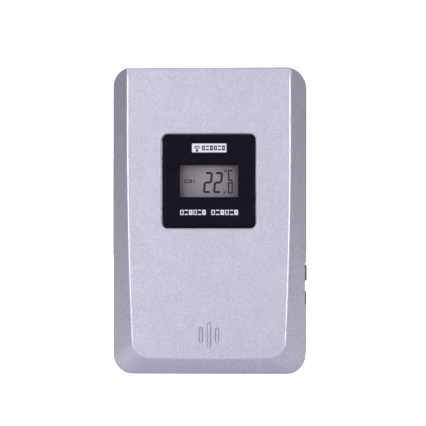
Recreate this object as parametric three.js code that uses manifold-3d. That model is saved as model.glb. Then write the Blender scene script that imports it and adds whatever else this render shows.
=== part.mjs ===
// Wireless temperature sensor that stands on its base or hangs on a screw.
// X is the width, Y the depth with the front at -Y, and Z the height. Units are millimetres.
import * as THREE from 'three';
import { mergeVertices } from 'three/addons/utils/BufferGeometryUtils.js';
import Module from 'manifold-3d';

const wasm = await Module();
wasm.setup();

// ---- housing -------------------------------------------------------------------------------
const bodyWidth = 63;
const bodyHeight = 100;
const bodyDepth = 27;
const wall = 2;
const cornerRadius = 6.5;
const frontCoverDepth = 16; // from the face to the parting line
const partingGap = 0.3;
const rearEdgeRadius = 1.5;
const lipHeight = 1.6;
const lipThickness = 0.9;

// Sloping rim around the face: both sides and the bottom slope back, the top edge is rounded.
const slopeDepth = 5.5;
const slopeWidthTop = 4.9;
const slopeWidthFoot = 6.5;
const slopeHeightBase = 5.4;
const straightLength = 20; // below the top edge, the side slopes keep their width this far
const faceCornerRadius = 5.8;
const faceBow = 0.3;
const topEdgeRadius = 1.4;

// Vent marks in the face, and open vent slots in the base below the thermistor.
const ventWidth = 1.3;
const ventPitch = 2.67;
const ventDepth = 0.7;
const ventHeights = [5, 8, 5];
const ventEndRadius = 0.64;
const ventCentreZ = 12.6;
const baseVentLength = 7;
const baseVentGap = 0.5; // between the locating lip and the slots

// Clearances.
const fit = 0.3; // between a moving piece and what it moves in
const snug = 0.2; // between inner pieces that stack on each other

// How the shapes are drawn.
const arcSteps = 5;
const fineSides = 24;
const rodSides = 16;
const wireSides = 5;
const merge = 0.1; // how far one shape runs into another that it joins
const past = 1; // how far a cut runs past the surface that it opens
const beyond = 20; // how far open-topped outlines run past the body

// Window and display.
const windowSize = 31;
const windowRadius = 2.1;
const windowDrop = 37; // from the top edge to the window's centre
const lensGap = 0.15;
const lensRecess = 0.3;
const lensThickness = 1;
const tapeThickness = 0.2;
const tapeGap = 0.1;
const tapeWidth = 2.5;
const tapeInset = 0.5;
const tapeCorner = 1;
const windowFloor = 1;
const windowMargin = 1.5;
const displayWidth = 26;
const displayHeight = 19;
const displayRearHeight = 13.6;
const glassThickness = 1.1;
const glassCorner = 0.3;
const viewWidth = 19;
const viewHeight = 10.6;
const viewMargin = 1.5;
const viewCorner = 1;
const displayFrameRim = 3.6;
const displayFrameLip = 0.6;
const displayFrameCorner = 1.5;
const displayPocketCorner = 0.4;
const stripDepth = 2.7;
const stripWidth = 1.8;
const stripInset = 1;

// Main circuit board.
const boardThickness = 1.2;
const boardMargin = 3.5; // between the board and the side walls
const boardAbove = 18; // above the window's centre
const boardBelow = 6; // below the lower button's centre
const boardCorner = 1.5;
const boardScrewRise = 5; // above the upper switch

// Side buttons and the switches behind them.
const upperButtonZ = 33;
const upperButtonLength = 5.2;
const upperButtonStand = 0.3; // how far the cap stands out of the side
const lowerButtonZ = 24.8;
const lowerButtonLength = 4.3;
const lowerButtonStand = 0.15;
const buttonDepth = 4.4;
const buttonRadius = 1.2;
const buttonTravel = 0.6;
const flangeOverhang = 0.7;
const flangeThickness = 0.8;
const pusherRadius = 1.2;
const recessDepth = 0.3;
const recessMargin = 0.6;
const switchSize = 6;
const switchHeight = 3.4;
const switchBody = 3.6;
const plungerRadius = 1.4;
const plungerLength = 1.5;

// Cells, their tray and their contacts.
const cellDiameter = 10.5;
const cellLength = 44.5;
const nubLength = 1;
const nubRadius = 1.9;
const cellSpacing = 0.8;
const cellMargin = 0.5;
const cellEdge = 0.5;
const trayWall = 1.2;
const contactThickness = 0.4;
const contactHeight = 8;
const dimpleHeight = 0.5;
const dimpleRadius = 2;
const springLength = 4.2;
const springWire = 0.35;
const springTurns = 3;
const springFootRadius = 3.4;
const springTipRadius = 2.4;
const springStepsPerTurn = 10;
const tabLength = 1.4;
const tabWidth = 2.4;

// Battery door.
const doorThickness = 1.7;
const doorLedge = 1.4;
const doorRadius = 1.2;
const doorBarrelRadius = 1;
const doorPinRadius = 0.55;
const doorPinLength = 1.2;
const latchWidth = 8;
const latchDepth = 3;
const latchThickness = 1;
const nibRadius = 0.5;
const nibBack = 0.6; // from the latch's tip to the nib's centre
const nibDrop = 0.2; // from the latch's top to the nib's centre
const nibSides = 12;
const scoopWidth = 12;
const scoopRadius = 2;
const scoopOut = 0.8; // how far behind the back the scoop's centre lies
const doorAboveNotch = 4.4;
const doorAboveSwitch = 1;
const flushGap = 0.1; // how far hinged pieces stay inside the back
const gripCount = 3;
const gripDepth = 0.4;
const gripWidth = 0.8;
const gripPitch = 1.6;
const gripDrop = 2.2; // from the door's top edge to the first groove

// Fold-out foot.
const footWidth = 30;
const footLength = 28;
const footThickness = 1.9;
const footAxisZ = 1.7;
const footBarrelRadius = 1.2;
const footPinRadius = 0.6;
const footPinLength = 1.4;
const footCorner = 3;
const footWellWall = 1.2;
const footPocketSide = 4;
const footPocketEnd = 6;
const footPocketRise = 1;
const footPocketDepth = 0.8;
const footPocketCorner = 2;
const notchWidth = 12;
const notchHeight = 2.6;

// Keyhole hanger.
const keyholeDrop = 14; // from the top edge to the hole's centre
const keyholeRadius = 4.3;
const keyholeSlotWidth = 5;
const keyholeSlotRise = 6;
const keyholePocketDepth = 5.2;
const keyholePocketWidth = 14;
const keyholePocketRise = 3.5; // above the centre of the slot's end

// Screws.
const caseScrewSide = 7; // from the side of the body to the screw's axis
const caseScrewEnd = 9; // from the top or bottom of the body
const caseScrewRadius = 1;
const caseScrewHeadRadius = 1.9;
const caseScrewHead = 1.4;
const caseScrewLength = 9.5;
const screwSides = 10;
const screwHeadTaper = 0.8;
const bossRadius = 2.8;
const towerRadius = 3.2;
const towerSeat = 5; // from the parting line to the screw head's seat
const boardScrewRadius = 0.85;
const boardScrewHeadRadius = 1.6;
const boardScrewHead = 1;
const boardScrewLength = 6;
const boardScrewInset = 3.5;
const postRadius = 2.2;

// Parts on the boards.
const blobRadius = 5;
const blobHeight = 1.2;
const blobSteps = 5;
const crystalRadius = 1;
const crystalLength = 6;
const crystalSides = 10;
const crystalX = -14;
const crystalDrop = 6; // below the board's top edge
const capacitorRadius = 2.5;
const capacitorLength = 7.5;
const capacitorX = -16;
const capacitorRise = 7; // above the board's bottom edge
const radioWidth = 14;
const radioHeight = 14;
const radioThickness = 0.8;
const radioCorner = 0.5;
const radioX = 10;
const radioRise = 2; // above the battery tray
const headerHeight = 1.8;
const headerInset = 2;
const headerHalfWidth = 1.2;
const headerRise = 2.5;
const resonatorRadius = 4;
const resonatorHeight = 3;
const resonatorRise = 1; // above the radio board's middle
const resonatorRim = 0.6;
const resonatorRimHeight = 0.5;
const resonatorShoulder = 0.4;
const coilRadius = 2.2;
const coilWire = 0.35;
const coilTurns = 9;
const coilLength = 10;
const coilX = 3;
const coilStepsPerTurn = 8;
const beadRadius = 1.3;
const thermistorLead = 0.3;
const thermistorLap = 3; // how far its leads reach up over the board
const leadRadius = 0.5;
const leadSteps = 14;
const leadSides = 6;
const leadPads = { red: -19, black: -16 };
const padRise = 4; // above the battery tray
const leadStart = { shift: 0.3, rise: 2.5 };
const leadEnd = { shift: 1, drop: 3 };

// ---- places worked out from the sizes above --------------------------------------------------
const frontY = -bodyDepth / 2;
const backY = bodyDepth / 2;
const sideX = bodyWidth / 2;
const innerX = sideX - wall;
const partingY = frontY + frontCoverDepth;
const rearStartY = partingY + partingGap;

const windowZ = bodyHeight - windowDrop;
const lensFrontY = frontY + lensRecess;
const lensBackY = lensFrontY + lensThickness;
const tapeFrontY = lensBackY + tapeGap;
const windowFloorY = tapeFrontY + tapeThickness + tapeGap;
const windowBackY = windowFloorY + windowFloor;
const viewOpeningWidth = viewWidth + 2 * viewMargin;
const viewOpeningHeight = viewHeight + 2 * viewMargin;
const displayFrameFrontY = windowBackY + snug;
const displayFrontY = displayFrameFrontY + displayFrameLip + snug;
const displayStepY = displayFrontY + glassThickness;
const stripFrontY = displayStepY + snug;
const boardFrontY = stripFrontY + stripDepth + snug;
const boardBackY = boardFrontY + boardThickness;
const onBoardY = boardBackY + snug;

const boardX = innerX - boardMargin;
const boardTop = windowZ + boardAbove;
const boardBottom = lowerButtonZ - boardBelow;
const boardScrewX = boardX - boardScrewInset;
const boardScrewHeights = [upperButtonZ + switchSize / 2 + boardScrewRise, boardTop - boardScrewInset];

const buttonY = onBoardY + switchHeight / 2;
const flangeOuterX = innerX - fit;
const flangeInnerX = flangeOuterX - flangeThickness;
const switchFaceX = boardX + snug;
const plungerTipX = switchFaceX + buttonTravel + snug;
const pusherEndX = plungerTipX + snug;
const buttons = [
  { name: 'channel', z: upperButtonZ, length: upperButtonLength, stand: upperButtonStand },
  { name: 'unit', z: lowerButtonZ, length: lowerButtonLength, stand: lowerButtonStand },
];

const footAxisY = backY - footBarrelRadius - fit;
const footLeafBackY = backY - flushGap;
const footLeafFrontY = footLeafBackY - footThickness;
const footWellY = footLeafFrontY - fit;
const footTop = footAxisZ + footLength;
const notchTop = footTop + fit + notchHeight;

const trayLength = cellLength + 2 * contactThickness + dimpleHeight + springLength + 4 * snug;
const trayHeight = 2 * cellDiameter + cellSpacing + 2 * cellMargin;
const doorwayWidth = trayLength + 2 * doorLedge;
const doorwayHeight = trayHeight + 2 * doorLedge;
const doorwayBottom = Math.max(notchTop + doorAboveNotch, upperButtonZ + switchSize / 2 + doorAboveSwitch);
const doorwayTop = doorwayBottom + doorwayHeight;
const trayZ = (doorwayBottom + doorwayTop) / 2;
const trayTop = trayZ + trayHeight / 2 + trayWall;
const doorInnerY = backY - doorThickness;
const ledgeY = doorInnerY - fit;
const cellY = doorInnerY - fit - cellDiameter / 2;
const trayFloorY = cellY - cellDiameter / 2 - fit;
const cellOffsetZ = (cellDiameter + cellSpacing) / 2;
const trayEndX = trayLength / 2;
const doorAxisY = backY - doorBarrelRadius - flushGap;
const doorAxisZ = doorwayBottom + fit + doorBarrelRadius;
const doorEdgeX = doorwayWidth / 2 - fit;

const keyholeZ = bodyHeight - keyholeDrop;
const keyholeBackY = backY - wall;
const caseScrewX = sideX - caseScrewSide;
const caseScrewHeights = [caseScrewEnd, bodyHeight - caseScrewEnd];
const screwSeatY = rearStartY + towerSeat;

const radioBottom = trayTop + radioRise;
const radioTop = radioBottom + radioHeight;
const radioFrontY = onBoardY + headerHeight + snug;
const radioBackY = radioFrontY + radioThickness;

// ---- materials -------------------------------------------------------------------------------
function material(color, roughness, metalness) {
  return new THREE.MeshStandardMaterial({ color, roughness, metalness });
}

const silverPlastic = material(0xcac7dc, 0.42, 0.35);
const lensBlack = material(0x17161c, 0.12, 0);
const displayGrey = material(0x7d757e, 0.3, 0);
const buttonGrey = material(0x6b6970, 0.55, 0);
const framePlastic = material(0xe9e8e4, 0.6, 0);
const tapeWhite = material(0xdedcd5, 0.8, 0);
const rubberGrey = material(0x3a3a3d, 0.85, 0);
const boardGreen = material(0x1f6b3a, 0.5, 0);
const resinBlack = material(0x101012, 0.35, 0);
const bodyBlack = material(0x1c1c1f, 0.5, 0);
const steel = material(0xb9bbbf, 0.3, 1);
const nickel = material(0xc9c6bd, 0.25, 1);
const copper = material(0xb8693c, 0.3, 1);
const cellJacket = material(0x27446e, 0.4, 0.1);
const redVinyl = material(0xb3201c, 0.5, 0);
const blackVinyl = material(0x151515, 0.5, 0);

// ---- solids ----------------------------------------------------------------------------------
function solidFrom(geometry) {
  const bare = geometry.clone();
  bare.deleteAttribute('normal');
  bare.deleteAttribute('uv');
  const merged = mergeVertices(bare, 1e-4);
  const vertProperties = new Float32Array(merged.attributes.position.array);
  const triVerts = new Uint32Array(merged.index.array);
  return new wasm.Manifold(new wasm.Mesh({ numProp: 3, vertProperties, triVerts }));
}

function geometryFrom(solid) {
  const mesh = solid.getMesh();
  const geometry = new THREE.BufferGeometry();
  geometry.setAttribute('position', new THREE.BufferAttribute(new Float32Array(mesh.vertProperties), 3));
  geometry.setIndex(new THREE.BufferAttribute(new Uint32Array(mesh.triVerts), 1));
  geometry.computeVertexNormals();
  return geometry;
}

function joined(solids) {
  return solids.reduce((whole, solid) => whole.add(solid));
}

// A box between two corners, each given as [x, y, z].
function block(low, high) {
  const geometry = new THREE.BoxGeometry(high[0] - low[0], high[1] - low[1], high[2] - low[2]);
  geometry.translate((low[0] + high[0]) / 2, (low[1] + high[1]) / 2, (low[2] + high[2]) / 2);
  return solidFrom(geometry);
}

function rodAlongX(radius, startX, endX, y, z, sides = rodSides) {
  const geometry = new THREE.CylinderGeometry(radius, radius, endX - startX, sides);
  geometry.rotateZ(Math.PI / 2);
  geometry.translate((startX + endX) / 2, y, z);
  return solidFrom(geometry);
}

function rodAlongY(radius, startY, endY, x, z, sides = rodSides) {
  const geometry = new THREE.CylinderGeometry(radius, radius, endY - startY, sides);
  geometry.translate(x, (startY + endY) / 2, z);
  return solidFrom(geometry);
}

function roundedRectangle(width, height, radius) {
  const x = width / 2 - radius;
  const y = height / 2 - radius;
  const shape = new THREE.Shape();
  shape.absarc(x, y, radius, 0, Math.PI / 2);
  shape.absarc(-x, y, radius, Math.PI / 2, Math.PI);
  shape.absarc(-x, -y, radius, Math.PI, 1.5 * Math.PI);
  shape.absarc(x, -y, radius, 1.5 * Math.PI, 2 * Math.PI);
  return shape;
}

// An outline drawn in the XZ plane, run back from startY to endY.
function runAlongY(shape, startY, endY, curveSegments = arcSteps) {
  const geometry = new THREE.ExtrudeGeometry(shape, { depth: endY - startY, bevelEnabled: false, curveSegments });
  geometry.rotateX(Math.PI / 2);
  geometry.translate(0, endY, 0);
  return geometry;
}

function plateAlongY(width, height, radius, startY, endY, z, x = 0) {
  const geometry = runAlongY(roundedRectangle(width, height, radius), startY, endY, 2);
  geometry.translate(x, 0, z);
  return solidFrom(geometry);
}

// A rounded rectangle drawn in the YZ plane, run from startX to endX.
function plateAlongX(depth, height, radius, startX, endX, y, z) {
  const geometry = new THREE.ExtrudeGeometry(roundedRectangle(depth, height, radius), {
    depth: endX - startX,
    bevelEnabled: false,
    curveSegments: 2,
  });
  geometry.rotateX(Math.PI / 2);
  geometry.rotateZ(Math.PI / 2);
  geometry.translate(startX, y, z);
  return solidFrom(geometry);
}

// ---- housing forms -----------------------------------------------------------------------------
// The body's outline seen from the front, shrunk by inset, between two depths.
function bodyPrism(inset, startY, endY) {
  const shape = roundedRectangle(bodyWidth - 2 * inset, bodyHeight - 2 * inset, cornerRadius - inset);
  const geometry = runAlongY(shape, startY, endY);
  geometry.translate(0, 0, bodyHeight / 2);
  return solidFrom(geometry);
}

function distinct(points) {
  return points.filter((point, index) => index === 0 || point.distanceTo(points[index - 1]) > 0.01);
}

// An outline that is open above the body: straight sides that curve in to halfFoot, round lower
// corners and a bottom edge that bows down by bow. Every such outline has as many points.
function openOutline(halfTop, halfFoot, bottom, radius, bow) {
  const cornerTop = bottom + radius;
  const bend = bodyHeight - straightLength;
  const middle = (bend + cornerTop) / 2;
  const outline = new THREE.Path();
  outline.moveTo(-halfTop, bodyHeight + beyond);
  outline.lineTo(-halfTop, bend);
  outline.quadraticCurveTo(-halfTop, middle, -halfFoot, cornerTop);
  outline.absarc(-halfFoot + radius, cornerTop, radius, Math.PI, 1.5 * Math.PI);
  outline.quadraticCurveTo(0, bottom - 2 * bow, halfFoot - radius, bottom);
  outline.absarc(halfFoot - radius, cornerTop, radius, 1.5 * Math.PI, 2 * Math.PI);
  outline.quadraticCurveTo(halfTop, middle, halfTop, bend);
  outline.lineTo(halfTop, bodyHeight + beyond);
  return distinct(outline.getPoints(arcSteps));
}

// A block with one outline at startY and another, of as many points, at endY.
function taperedBlock(startOutline, startY, endOutline, endY) {
  const shape = new THREE.Shape(endOutline);
  const geometry = new THREE.ExtrudeGeometry(shape, { depth: endY - startY, bevelEnabled: false });
  const position = geometry.attributes.position;
  for (let index = 0; index < position.count; index++) {
    if (position.getZ(index) > 0) {
      const vertex = new THREE.Vector2(position.getX(index), position.getY(index));
      const match = endOutline.findIndex((point) => point.distanceTo(vertex) < 0.001);
      position.setXY(index, startOutline[match].x, startOutline[match].y);
    }
  }
  geometry.rotateX(Math.PI / 2);
  geometry.translate(0, endY, 0);
  return solidFrom(geometry);
}

// The front of the body, shrunk by inset with the walls' thickness kept even around the slopes.
function frontForm(inset, endY) {
  const slopeAngle = Math.atan2(slopeDepth, slopeWidthTop);
  const faceShift = inset * Math.tan(slopeAngle / 2);
  const rimY = frontY + slopeDepth + inset * Math.tan((Math.PI / 2 - slopeAngle) / 2);
  const face = openOutline(sideX - slopeWidthTop - faceShift, sideX - slopeWidthFoot - faceShift,
    slopeHeightBase + faceShift, faceCornerRadius, faceBow);
  const rim = openOutline(sideX - inset, sideX - inset, inset, cornerRadius - inset, 0);
  const sloped = taperedBlock(face, frontY + inset, rim, rimY);
  const straight = taperedBlock(rim, rimY, rim, endY);
  return sloped.add(straight).intersect(bodyPrism(inset, frontY - past, endY + past));
}

// What is taken off the edge between the face and the top.
function topEdgeCut() {
  const corner = block(
    [-sideX - past, frontY - past, bodyHeight - topEdgeRadius],
    [sideX + past, frontY + topEdgeRadius, bodyHeight + past],
  );
  const round = rodAlongX(topEdgeRadius, -sideX - 2 * past, sideX + 2 * past, frontY + topEdgeRadius,
    bodyHeight - topEdgeRadius, fineSides);
  return corner.subtract(round);
}

// The back of the body with its rounded rear edge.
function rearForm() {
  const shape = roundedRectangle(bodyWidth, bodyHeight, cornerRadius);
  const geometry = new THREE.ExtrudeGeometry(shape, {
    depth: backY - rearStartY,
    bevelThickness: rearEdgeRadius,
    bevelSize: rearEdgeRadius,
    bevelOffset: -rearEdgeRadius,
    bevelSegments: 3,
    curveSegments: arcSteps,
  });
  geometry.rotateX(Math.PI / 2);
  geometry.translate(0, backY - rearEdgeRadius, bodyHeight / 2);
  const ahead = block([-sideX - past, frontY - past, -past], [sideX + past, rearStartY, bodyHeight + past]);
  return solidFrom(geometry).subtract(ahead);
}

// A shallow finger recess down the right side, behind which the buttons sit.
function sideRecess() {
  const low = lowerButtonZ - lowerButtonLength / 2 - recessMargin;
  const high = upperButtonZ + upperButtonLength / 2 + recessMargin;
  return block([sideX - recessDepth, frontY - past, low], [sideX + past, backY + past, high]);
}

function boardPostPlaces() {
  return boardScrewHeights.flatMap((z) => [{ x: -boardScrewX, z }, { x: boardScrewX, z }]);
}

function caseScrewPlaces() {
  return caseScrewHeights.flatMap((z) => [{ x: -caseScrewX, z }, { x: caseScrewX, z }]);
}

// ---- front cover -------------------------------------------------------------------------------
function frontCover() {
  const outer = frontForm(0, partingY).subtract(topEdgeCut());
  const inner = frontForm(wall, partingY + past);
  const pad = windowSize + 2 * windowMargin;
  const additions = [
    plateAlongY(pad, pad, windowRadius + windowMargin, frontY + wall / 2, windowBackY, windowZ),
    ...boardPostPlaces().map(({ x, z }) => rodAlongY(postRadius, frontY + wall / 2, boardFrontY - snug, x, z)),
    ...caseScrewPlaces().map(({ x, z }) => rodAlongY(bossRadius, frontY + wall / 2, partingY, x, z)),
  ];
  const inside = joined(additions).intersect(outer);
  const cuts = [
    plateAlongY(windowSize, windowSize, windowRadius, frontY - past, windowFloorY, windowZ),
    plateAlongY(viewOpeningWidth, viewOpeningHeight, viewCorner, frontY, windowBackY + past, windowZ),
    ...boardPostPlaces().map(({ x, z }) => screwHole(boardScrewRadius, boardBackY - boardScrewLength, x, z)),
    ...caseScrewPlaces().map(({ x, z }) => screwHole(caseScrewRadius, screwSeatY - caseScrewLength, x, z)),
    ...ventCuts(),
    ...buttons.map(buttonWindow),
    sideRecess(),
  ];
  return outer.subtract(inner).add(inside).subtract(joined(cuts));
}

// A blind hole from the back for a screw whose tip is at tipY.
function screwHole(radius, tipY, x, z) {
  return rodAlongY(radius + fit, tipY - fit, partingY + past, x, z);
}

function ventCuts() {
  return ventHeights.flatMap((height, index) => {
    const x = (index - 1) * ventPitch;
    const mark = plateAlongY(ventWidth, height, ventEndRadius, frontY - past, frontY + ventDepth, ventCentreZ, x);
    const slotBack = partingY - lipHeight - baseVentGap;
    const slot = block(
      [x - ventWidth / 2, slotBack - baseVentLength, -past],
      [x + ventWidth / 2, slotBack, wall + past],
    );
    return [mark, slot];
  });
}

function buttonWindow({ z, length }) {
  return plateAlongX(buttonDepth + 2 * fit, length + 2 * fit, buttonRadius + fit, innerX - past, sideX + past,
    buttonY, z);
}

// ---- rear cover --------------------------------------------------------------------------------
function rearCover() {
  const outer = rearForm();
  const shell = outer.subtract(bodyPrism(wall, rearStartY - past, backY - wall));
  const additions = [
    locatingLip(),
    ...caseScrewPlaces().map(({ x, z }) => rodAlongY(towerRadius, rearStartY, backY - wall / 2, x, z)),
    trayBlock(),
    keyholeBlock(),
    footBlock().intersect(outer),
  ];
  const cuts = [
    ...caseScrewPlaces().flatMap(({ x, z }) => [
      rodAlongY(caseScrewRadius + fit, rearStartY - past, backY + past, x, z),
      rodAlongY(caseScrewHeadRadius + fit, screwSeatY, backY + past, x, z),
    ]),
    ...trayCuts(),
    ...doorCuts(),
    ...keyholeCuts(),
    ...footCuts(),
    sideRecess(),
  ];
  return shell.add(joined(additions)).subtract(joined(cuts));
}

// A thin rim that stands forward into the front cover and centres the two covers.
function locatingLip() {
  const inside = wall + snug + lipThickness;
  const root = bodyPrism(wall / 2, rearStartY, rearStartY + lipHeight);
  const rim = bodyPrism(wall + snug, partingY - lipHeight, rearStartY + merge);
  return root.add(rim).subtract(bodyPrism(inside, partingY - lipHeight - past, rearStartY + lipHeight + past));
}

function trayBlock() {
  const halfX = trayEndX + trayWall;
  const halfZ = trayHeight / 2 + trayWall;
  const box = block([-halfX, trayFloorY - trayWall, trayZ - halfZ], [halfX, backY - wall / 2, trayZ + halfZ]);
  const flange = block(
    [-doorwayWidth / 2 - doorLedge, ledgeY - trayWall, doorwayBottom - doorLedge],
    [doorwayWidth / 2 + doorLedge, backY - wall / 2, doorwayTop + doorLedge],
  );
  return box.add(flange);
}

function trayCuts() {
  const cavity = block(
    [-trayEndX, trayFloorY, trayZ - trayHeight / 2],
    [trayEndX, backY, trayZ + trayHeight / 2],
  );
  const tabSlots = [-1, 1].map((side) => block(
    [-trayEndX - merge, trayFloorY - trayWall - past, trayZ + side * cellOffsetZ - tabWidth / 2 - fit],
    [-trayEndX + contactThickness + snug + fit, trayFloorY + past, trayZ + side * cellOffsetZ + tabWidth / 2 + fit],
  ));
  return [cavity, ...tabSlots];
}

function doorCuts() {
  const doorway = plateAlongY(doorwayWidth, doorwayHeight, doorRadius, ledgeY, backY + past, trayZ)
    .add(block([-doorwayWidth / 2, ledgeY, doorwayBottom], [doorwayWidth / 2, backY + past, trayZ]));
  const hingeGroove = rodAlongX(doorBarrelRadius + fit, -doorEdgeX - fit, doorEdgeX + fit, doorAxisY, doorAxisZ);
  const socketEnd = doorEdgeX + doorPinLength + fit;
  const sockets = rodAlongX(doorPinRadius + fit, -socketEnd, socketEnd, doorAxisY, doorAxisZ);
  const latchSlot = block(
    [-latchWidth / 2 - fit, doorInnerY - latchDepth - fit, doorwayTop - fit - latchThickness - 2 * fit],
    [latchWidth / 2 + fit, backY, doorwayTop],
  );
  const scoop = rodAlongX(scoopRadius, -scoopWidth / 2, scoopWidth / 2, backY + scoopOut, doorwayTop);
  return [doorway, hingeGroove, sockets, latchSlot, scoop];
}

function keyholeBlock() {
  const half = keyholePocketWidth / 2 + trayWall;
  return block(
    [-half, keyholeBackY - keyholePocketDepth - trayWall, keyholeZ - half],
    [half, backY - wall / 2, keyholeZ + keyholeSlotRise + keyholePocketRise + trayWall],
  );
}

function keyholeCuts() {
  const half = keyholePocketWidth / 2;
  const pocket = block(
    [-half, keyholeBackY - keyholePocketDepth, keyholeZ - half],
    [half, keyholeBackY, keyholeZ + keyholeSlotRise + keyholePocketRise],
  );
  const hole = rodAlongY(keyholeRadius, keyholeBackY - past, backY + past, 0, keyholeZ, fineSides);
  const slot = block(
    [-keyholeSlotWidth / 2, keyholeBackY - past, keyholeZ],
    [keyholeSlotWidth / 2, backY + past, keyholeZ + keyholeSlotRise],
  );
  const slotEnd = rodAlongY(keyholeSlotWidth / 2, keyholeBackY - past, backY + past, 0, keyholeZ + keyholeSlotRise);
  return [pocket, hole, slot, slotEnd];
}

// The recess that the folded foot lies in, with thicker sides around the hinge pins.
function footBlock() {
  const half = footWidth / 2 + fit + footPinLength + fit + footWellWall;
  const well = block([-half, footWellY - footWellWall, 0], [half, backY, notchTop + footWellWall]);
  const hingeFront = footAxisY - footBarrelRadius - fit - footWellWall;
  const hingeTop = footAxisZ + footBarrelRadius + fit + footWellWall;
  return well.add(block([-half, hingeFront, 0], [half, backY, hingeTop]));
}

function footCuts() {
  const half = footWidth / 2 + fit;
  const well = block([-half, footWellY, footAxisZ], [half, backY + past, footTop + fit]);
  const hinge = block(
    [-half, footAxisY - footBarrelRadius - fit, -past],
    [half, backY + past, footAxisZ + footBarrelRadius + fit],
  );
  const socketEnd = half + footPinLength;
  const sockets = rodAlongX(footPinRadius + fit, -socketEnd, socketEnd, footAxisY, footAxisZ);
  const notch = block([-notchWidth / 2, footWellY, footTop], [notchWidth / 2, backY + past, notchTop]);
  return [well, hinge, sockets, notch];
}

// ---- battery door and foot ---------------------------------------------------------------------
function batteryDoor() {
  const top = doorwayTop - fit;
  const plateHeight = top - doorAxisZ;
  const plate = plateAlongY(2 * doorEdgeX, 2 * plateHeight, doorRadius - fit, doorInnerY, backY, doorAxisZ)
    .subtract(block([-sideX, frontY, doorAxisZ - 2 * plateHeight], [sideX, backY + past, doorAxisZ]));
  const barrel = rodAlongX(doorBarrelRadius, -doorEdgeX, doorEdgeX, doorAxisY, doorAxisZ);
  const pinEnd = doorEdgeX + doorPinLength;
  const pins = rodAlongX(doorPinRadius, -pinEnd, pinEnd, doorAxisY, doorAxisZ);
  const latchTop = top - fit;
  const latch = block(
    [-latchWidth / 2, doorInnerY - latchDepth, latchTop - latchThickness],
    [latchWidth / 2, doorInnerY + merge, latchTop],
  );
  const catchNib = rodAlongX(nibRadius, -latchWidth / 2, latchWidth / 2, doorInnerY - latchDepth + nibBack,
    latchTop - nibDrop, nibSides);
  const grooves = Array.from({ length: gripCount }, (_, index) => top - gripDrop - gripPitch * index)
    .map((z) => block([-scoopWidth / 2, backY - gripDepth, z - gripWidth], [scoopWidth / 2, backY + past, z]));
  return joined([plate, barrel, pins, latch, catchNib]).subtract(joined(grooves));
}

function standFoot() {
  const leaf = plateAlongY(footWidth, 2 * footLength, footCorner, footLeafFrontY, footLeafBackY, footAxisZ)
    .subtract(block([-sideX, frontY, -2 * footLength], [sideX, backY + past, footAxisZ]));
  const barrel = rodAlongX(footBarrelRadius, -footWidth / 2, footWidth / 2, footAxisY, footAxisZ);
  const pinEnd = footWidth / 2 + footPinLength;
  const pins = rodAlongX(footPinRadius, -pinEnd, pinEnd, footAxisY, footAxisZ);
  const pocket = plateAlongY(footWidth - 2 * footPocketSide, footLength - 2 * footPocketEnd, footPocketCorner,
    footLeafFrontY - past, footLeafFrontY + footPocketDepth, footAxisZ + footLength / 2 + footPocketRise);
  return joined([leaf, barrel, pins]).subtract(pocket);
}

// ---- window and display, each drawn about its own centre ------------------------------------------
function windowLens() {
  const size = windowSize - 2 * lensGap;
  return plateAlongY(size, size, windowRadius - lensGap, 0, lensThickness, 0);
}

function lensTape() {
  const size = windowSize - 2 * tapeInset;
  const opening = size - 2 * tapeWidth;
  return plateAlongY(size, size, windowRadius, 0, tapeThickness, 0)
    .subtract(plateAlongY(opening, opening, tapeCorner, -past, tapeThickness + past, 0));
}

function displayPanel() {
  const front = plateAlongY(displayWidth, displayHeight, glassCorner, 0, glassThickness, 0);
  const rear = plateAlongY(displayWidth, displayRearHeight, glassCorner, glassThickness / 2, 2 * glassThickness, 0);
  return front.add(rear);
}

function displayFrame() {
  const depth = boardFrontY - snug - displayFrameFrontY;
  const width = displayWidth + 2 * displayFrameRim;
  const height = displayHeight + 2 * displayFrameRim;
  return plateAlongY(width, height, displayFrameCorner, 0, depth, 0)
    .subtract(plateAlongY(viewOpeningWidth, viewOpeningHeight, viewCorner, -past, depth + past, 0))
    .subtract(plateAlongY(displayWidth + 2 * snug, displayHeight + 2 * snug, displayPocketCorner,
      displayFrameLip, depth + past, 0));
}

function rubberStrip() {
  const half = displayWidth / 2 - stripInset;
  return block([-half, 0, -stripWidth / 2], [half, stripDepth, stripWidth / 2]);
}

// ---- boards and what is on them -------------------------------------------------------------------
function mainBoard() {
  const height = boardTop - boardBottom;
  const middle = (boardTop + boardBottom) / 2;
  const holes = boardPostPlaces().map(({ x, z }) => (
    rodAlongY(boardScrewRadius + fit, -past, boardThickness + past, x, z - middle)));
  return plateAlongY(2 * boardX, height, boardCorner, 0, boardThickness, 0).subtract(joined(holes));
}

// A low dome of resin, flat side at the back.
function chipBlob() {
  const profile = [new THREE.Vector2(0, 0), new THREE.Vector2(blobRadius, 0)];
  for (let step = 1; step < blobSteps; step++) {
    const angle = (step / blobSteps) * Math.PI / 2;
    profile.push(new THREE.Vector2(blobRadius * Math.cos(angle), blobHeight * Math.sin(angle)));
  }
  profile.push(new THREE.Vector2(0, blobHeight));
  return new THREE.LatheGeometry(profile, rodSides);
}

function radioHeader() {
  const half = radioWidth / 2 - headerInset;
  return block([-half, 0, -headerHalfWidth], [half, headerHeight, headerHalfWidth]);
}

function resonatorCan() {
  const profile = [
    new THREE.Vector2(0, 0),
    new THREE.Vector2(resonatorRadius, 0),
    new THREE.Vector2(resonatorRadius, resonatorRimHeight),
    new THREE.Vector2(resonatorRadius - resonatorRim, resonatorRimHeight),
    new THREE.Vector2(resonatorRadius - resonatorRim, resonatorHeight - resonatorShoulder),
    new THREE.Vector2(resonatorRadius - resonatorRim - resonatorShoulder, resonatorHeight),
    new THREE.Vector2(0, resonatorHeight),
  ];
  return new THREE.LatheGeometry(profile, rodSides);
}

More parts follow.
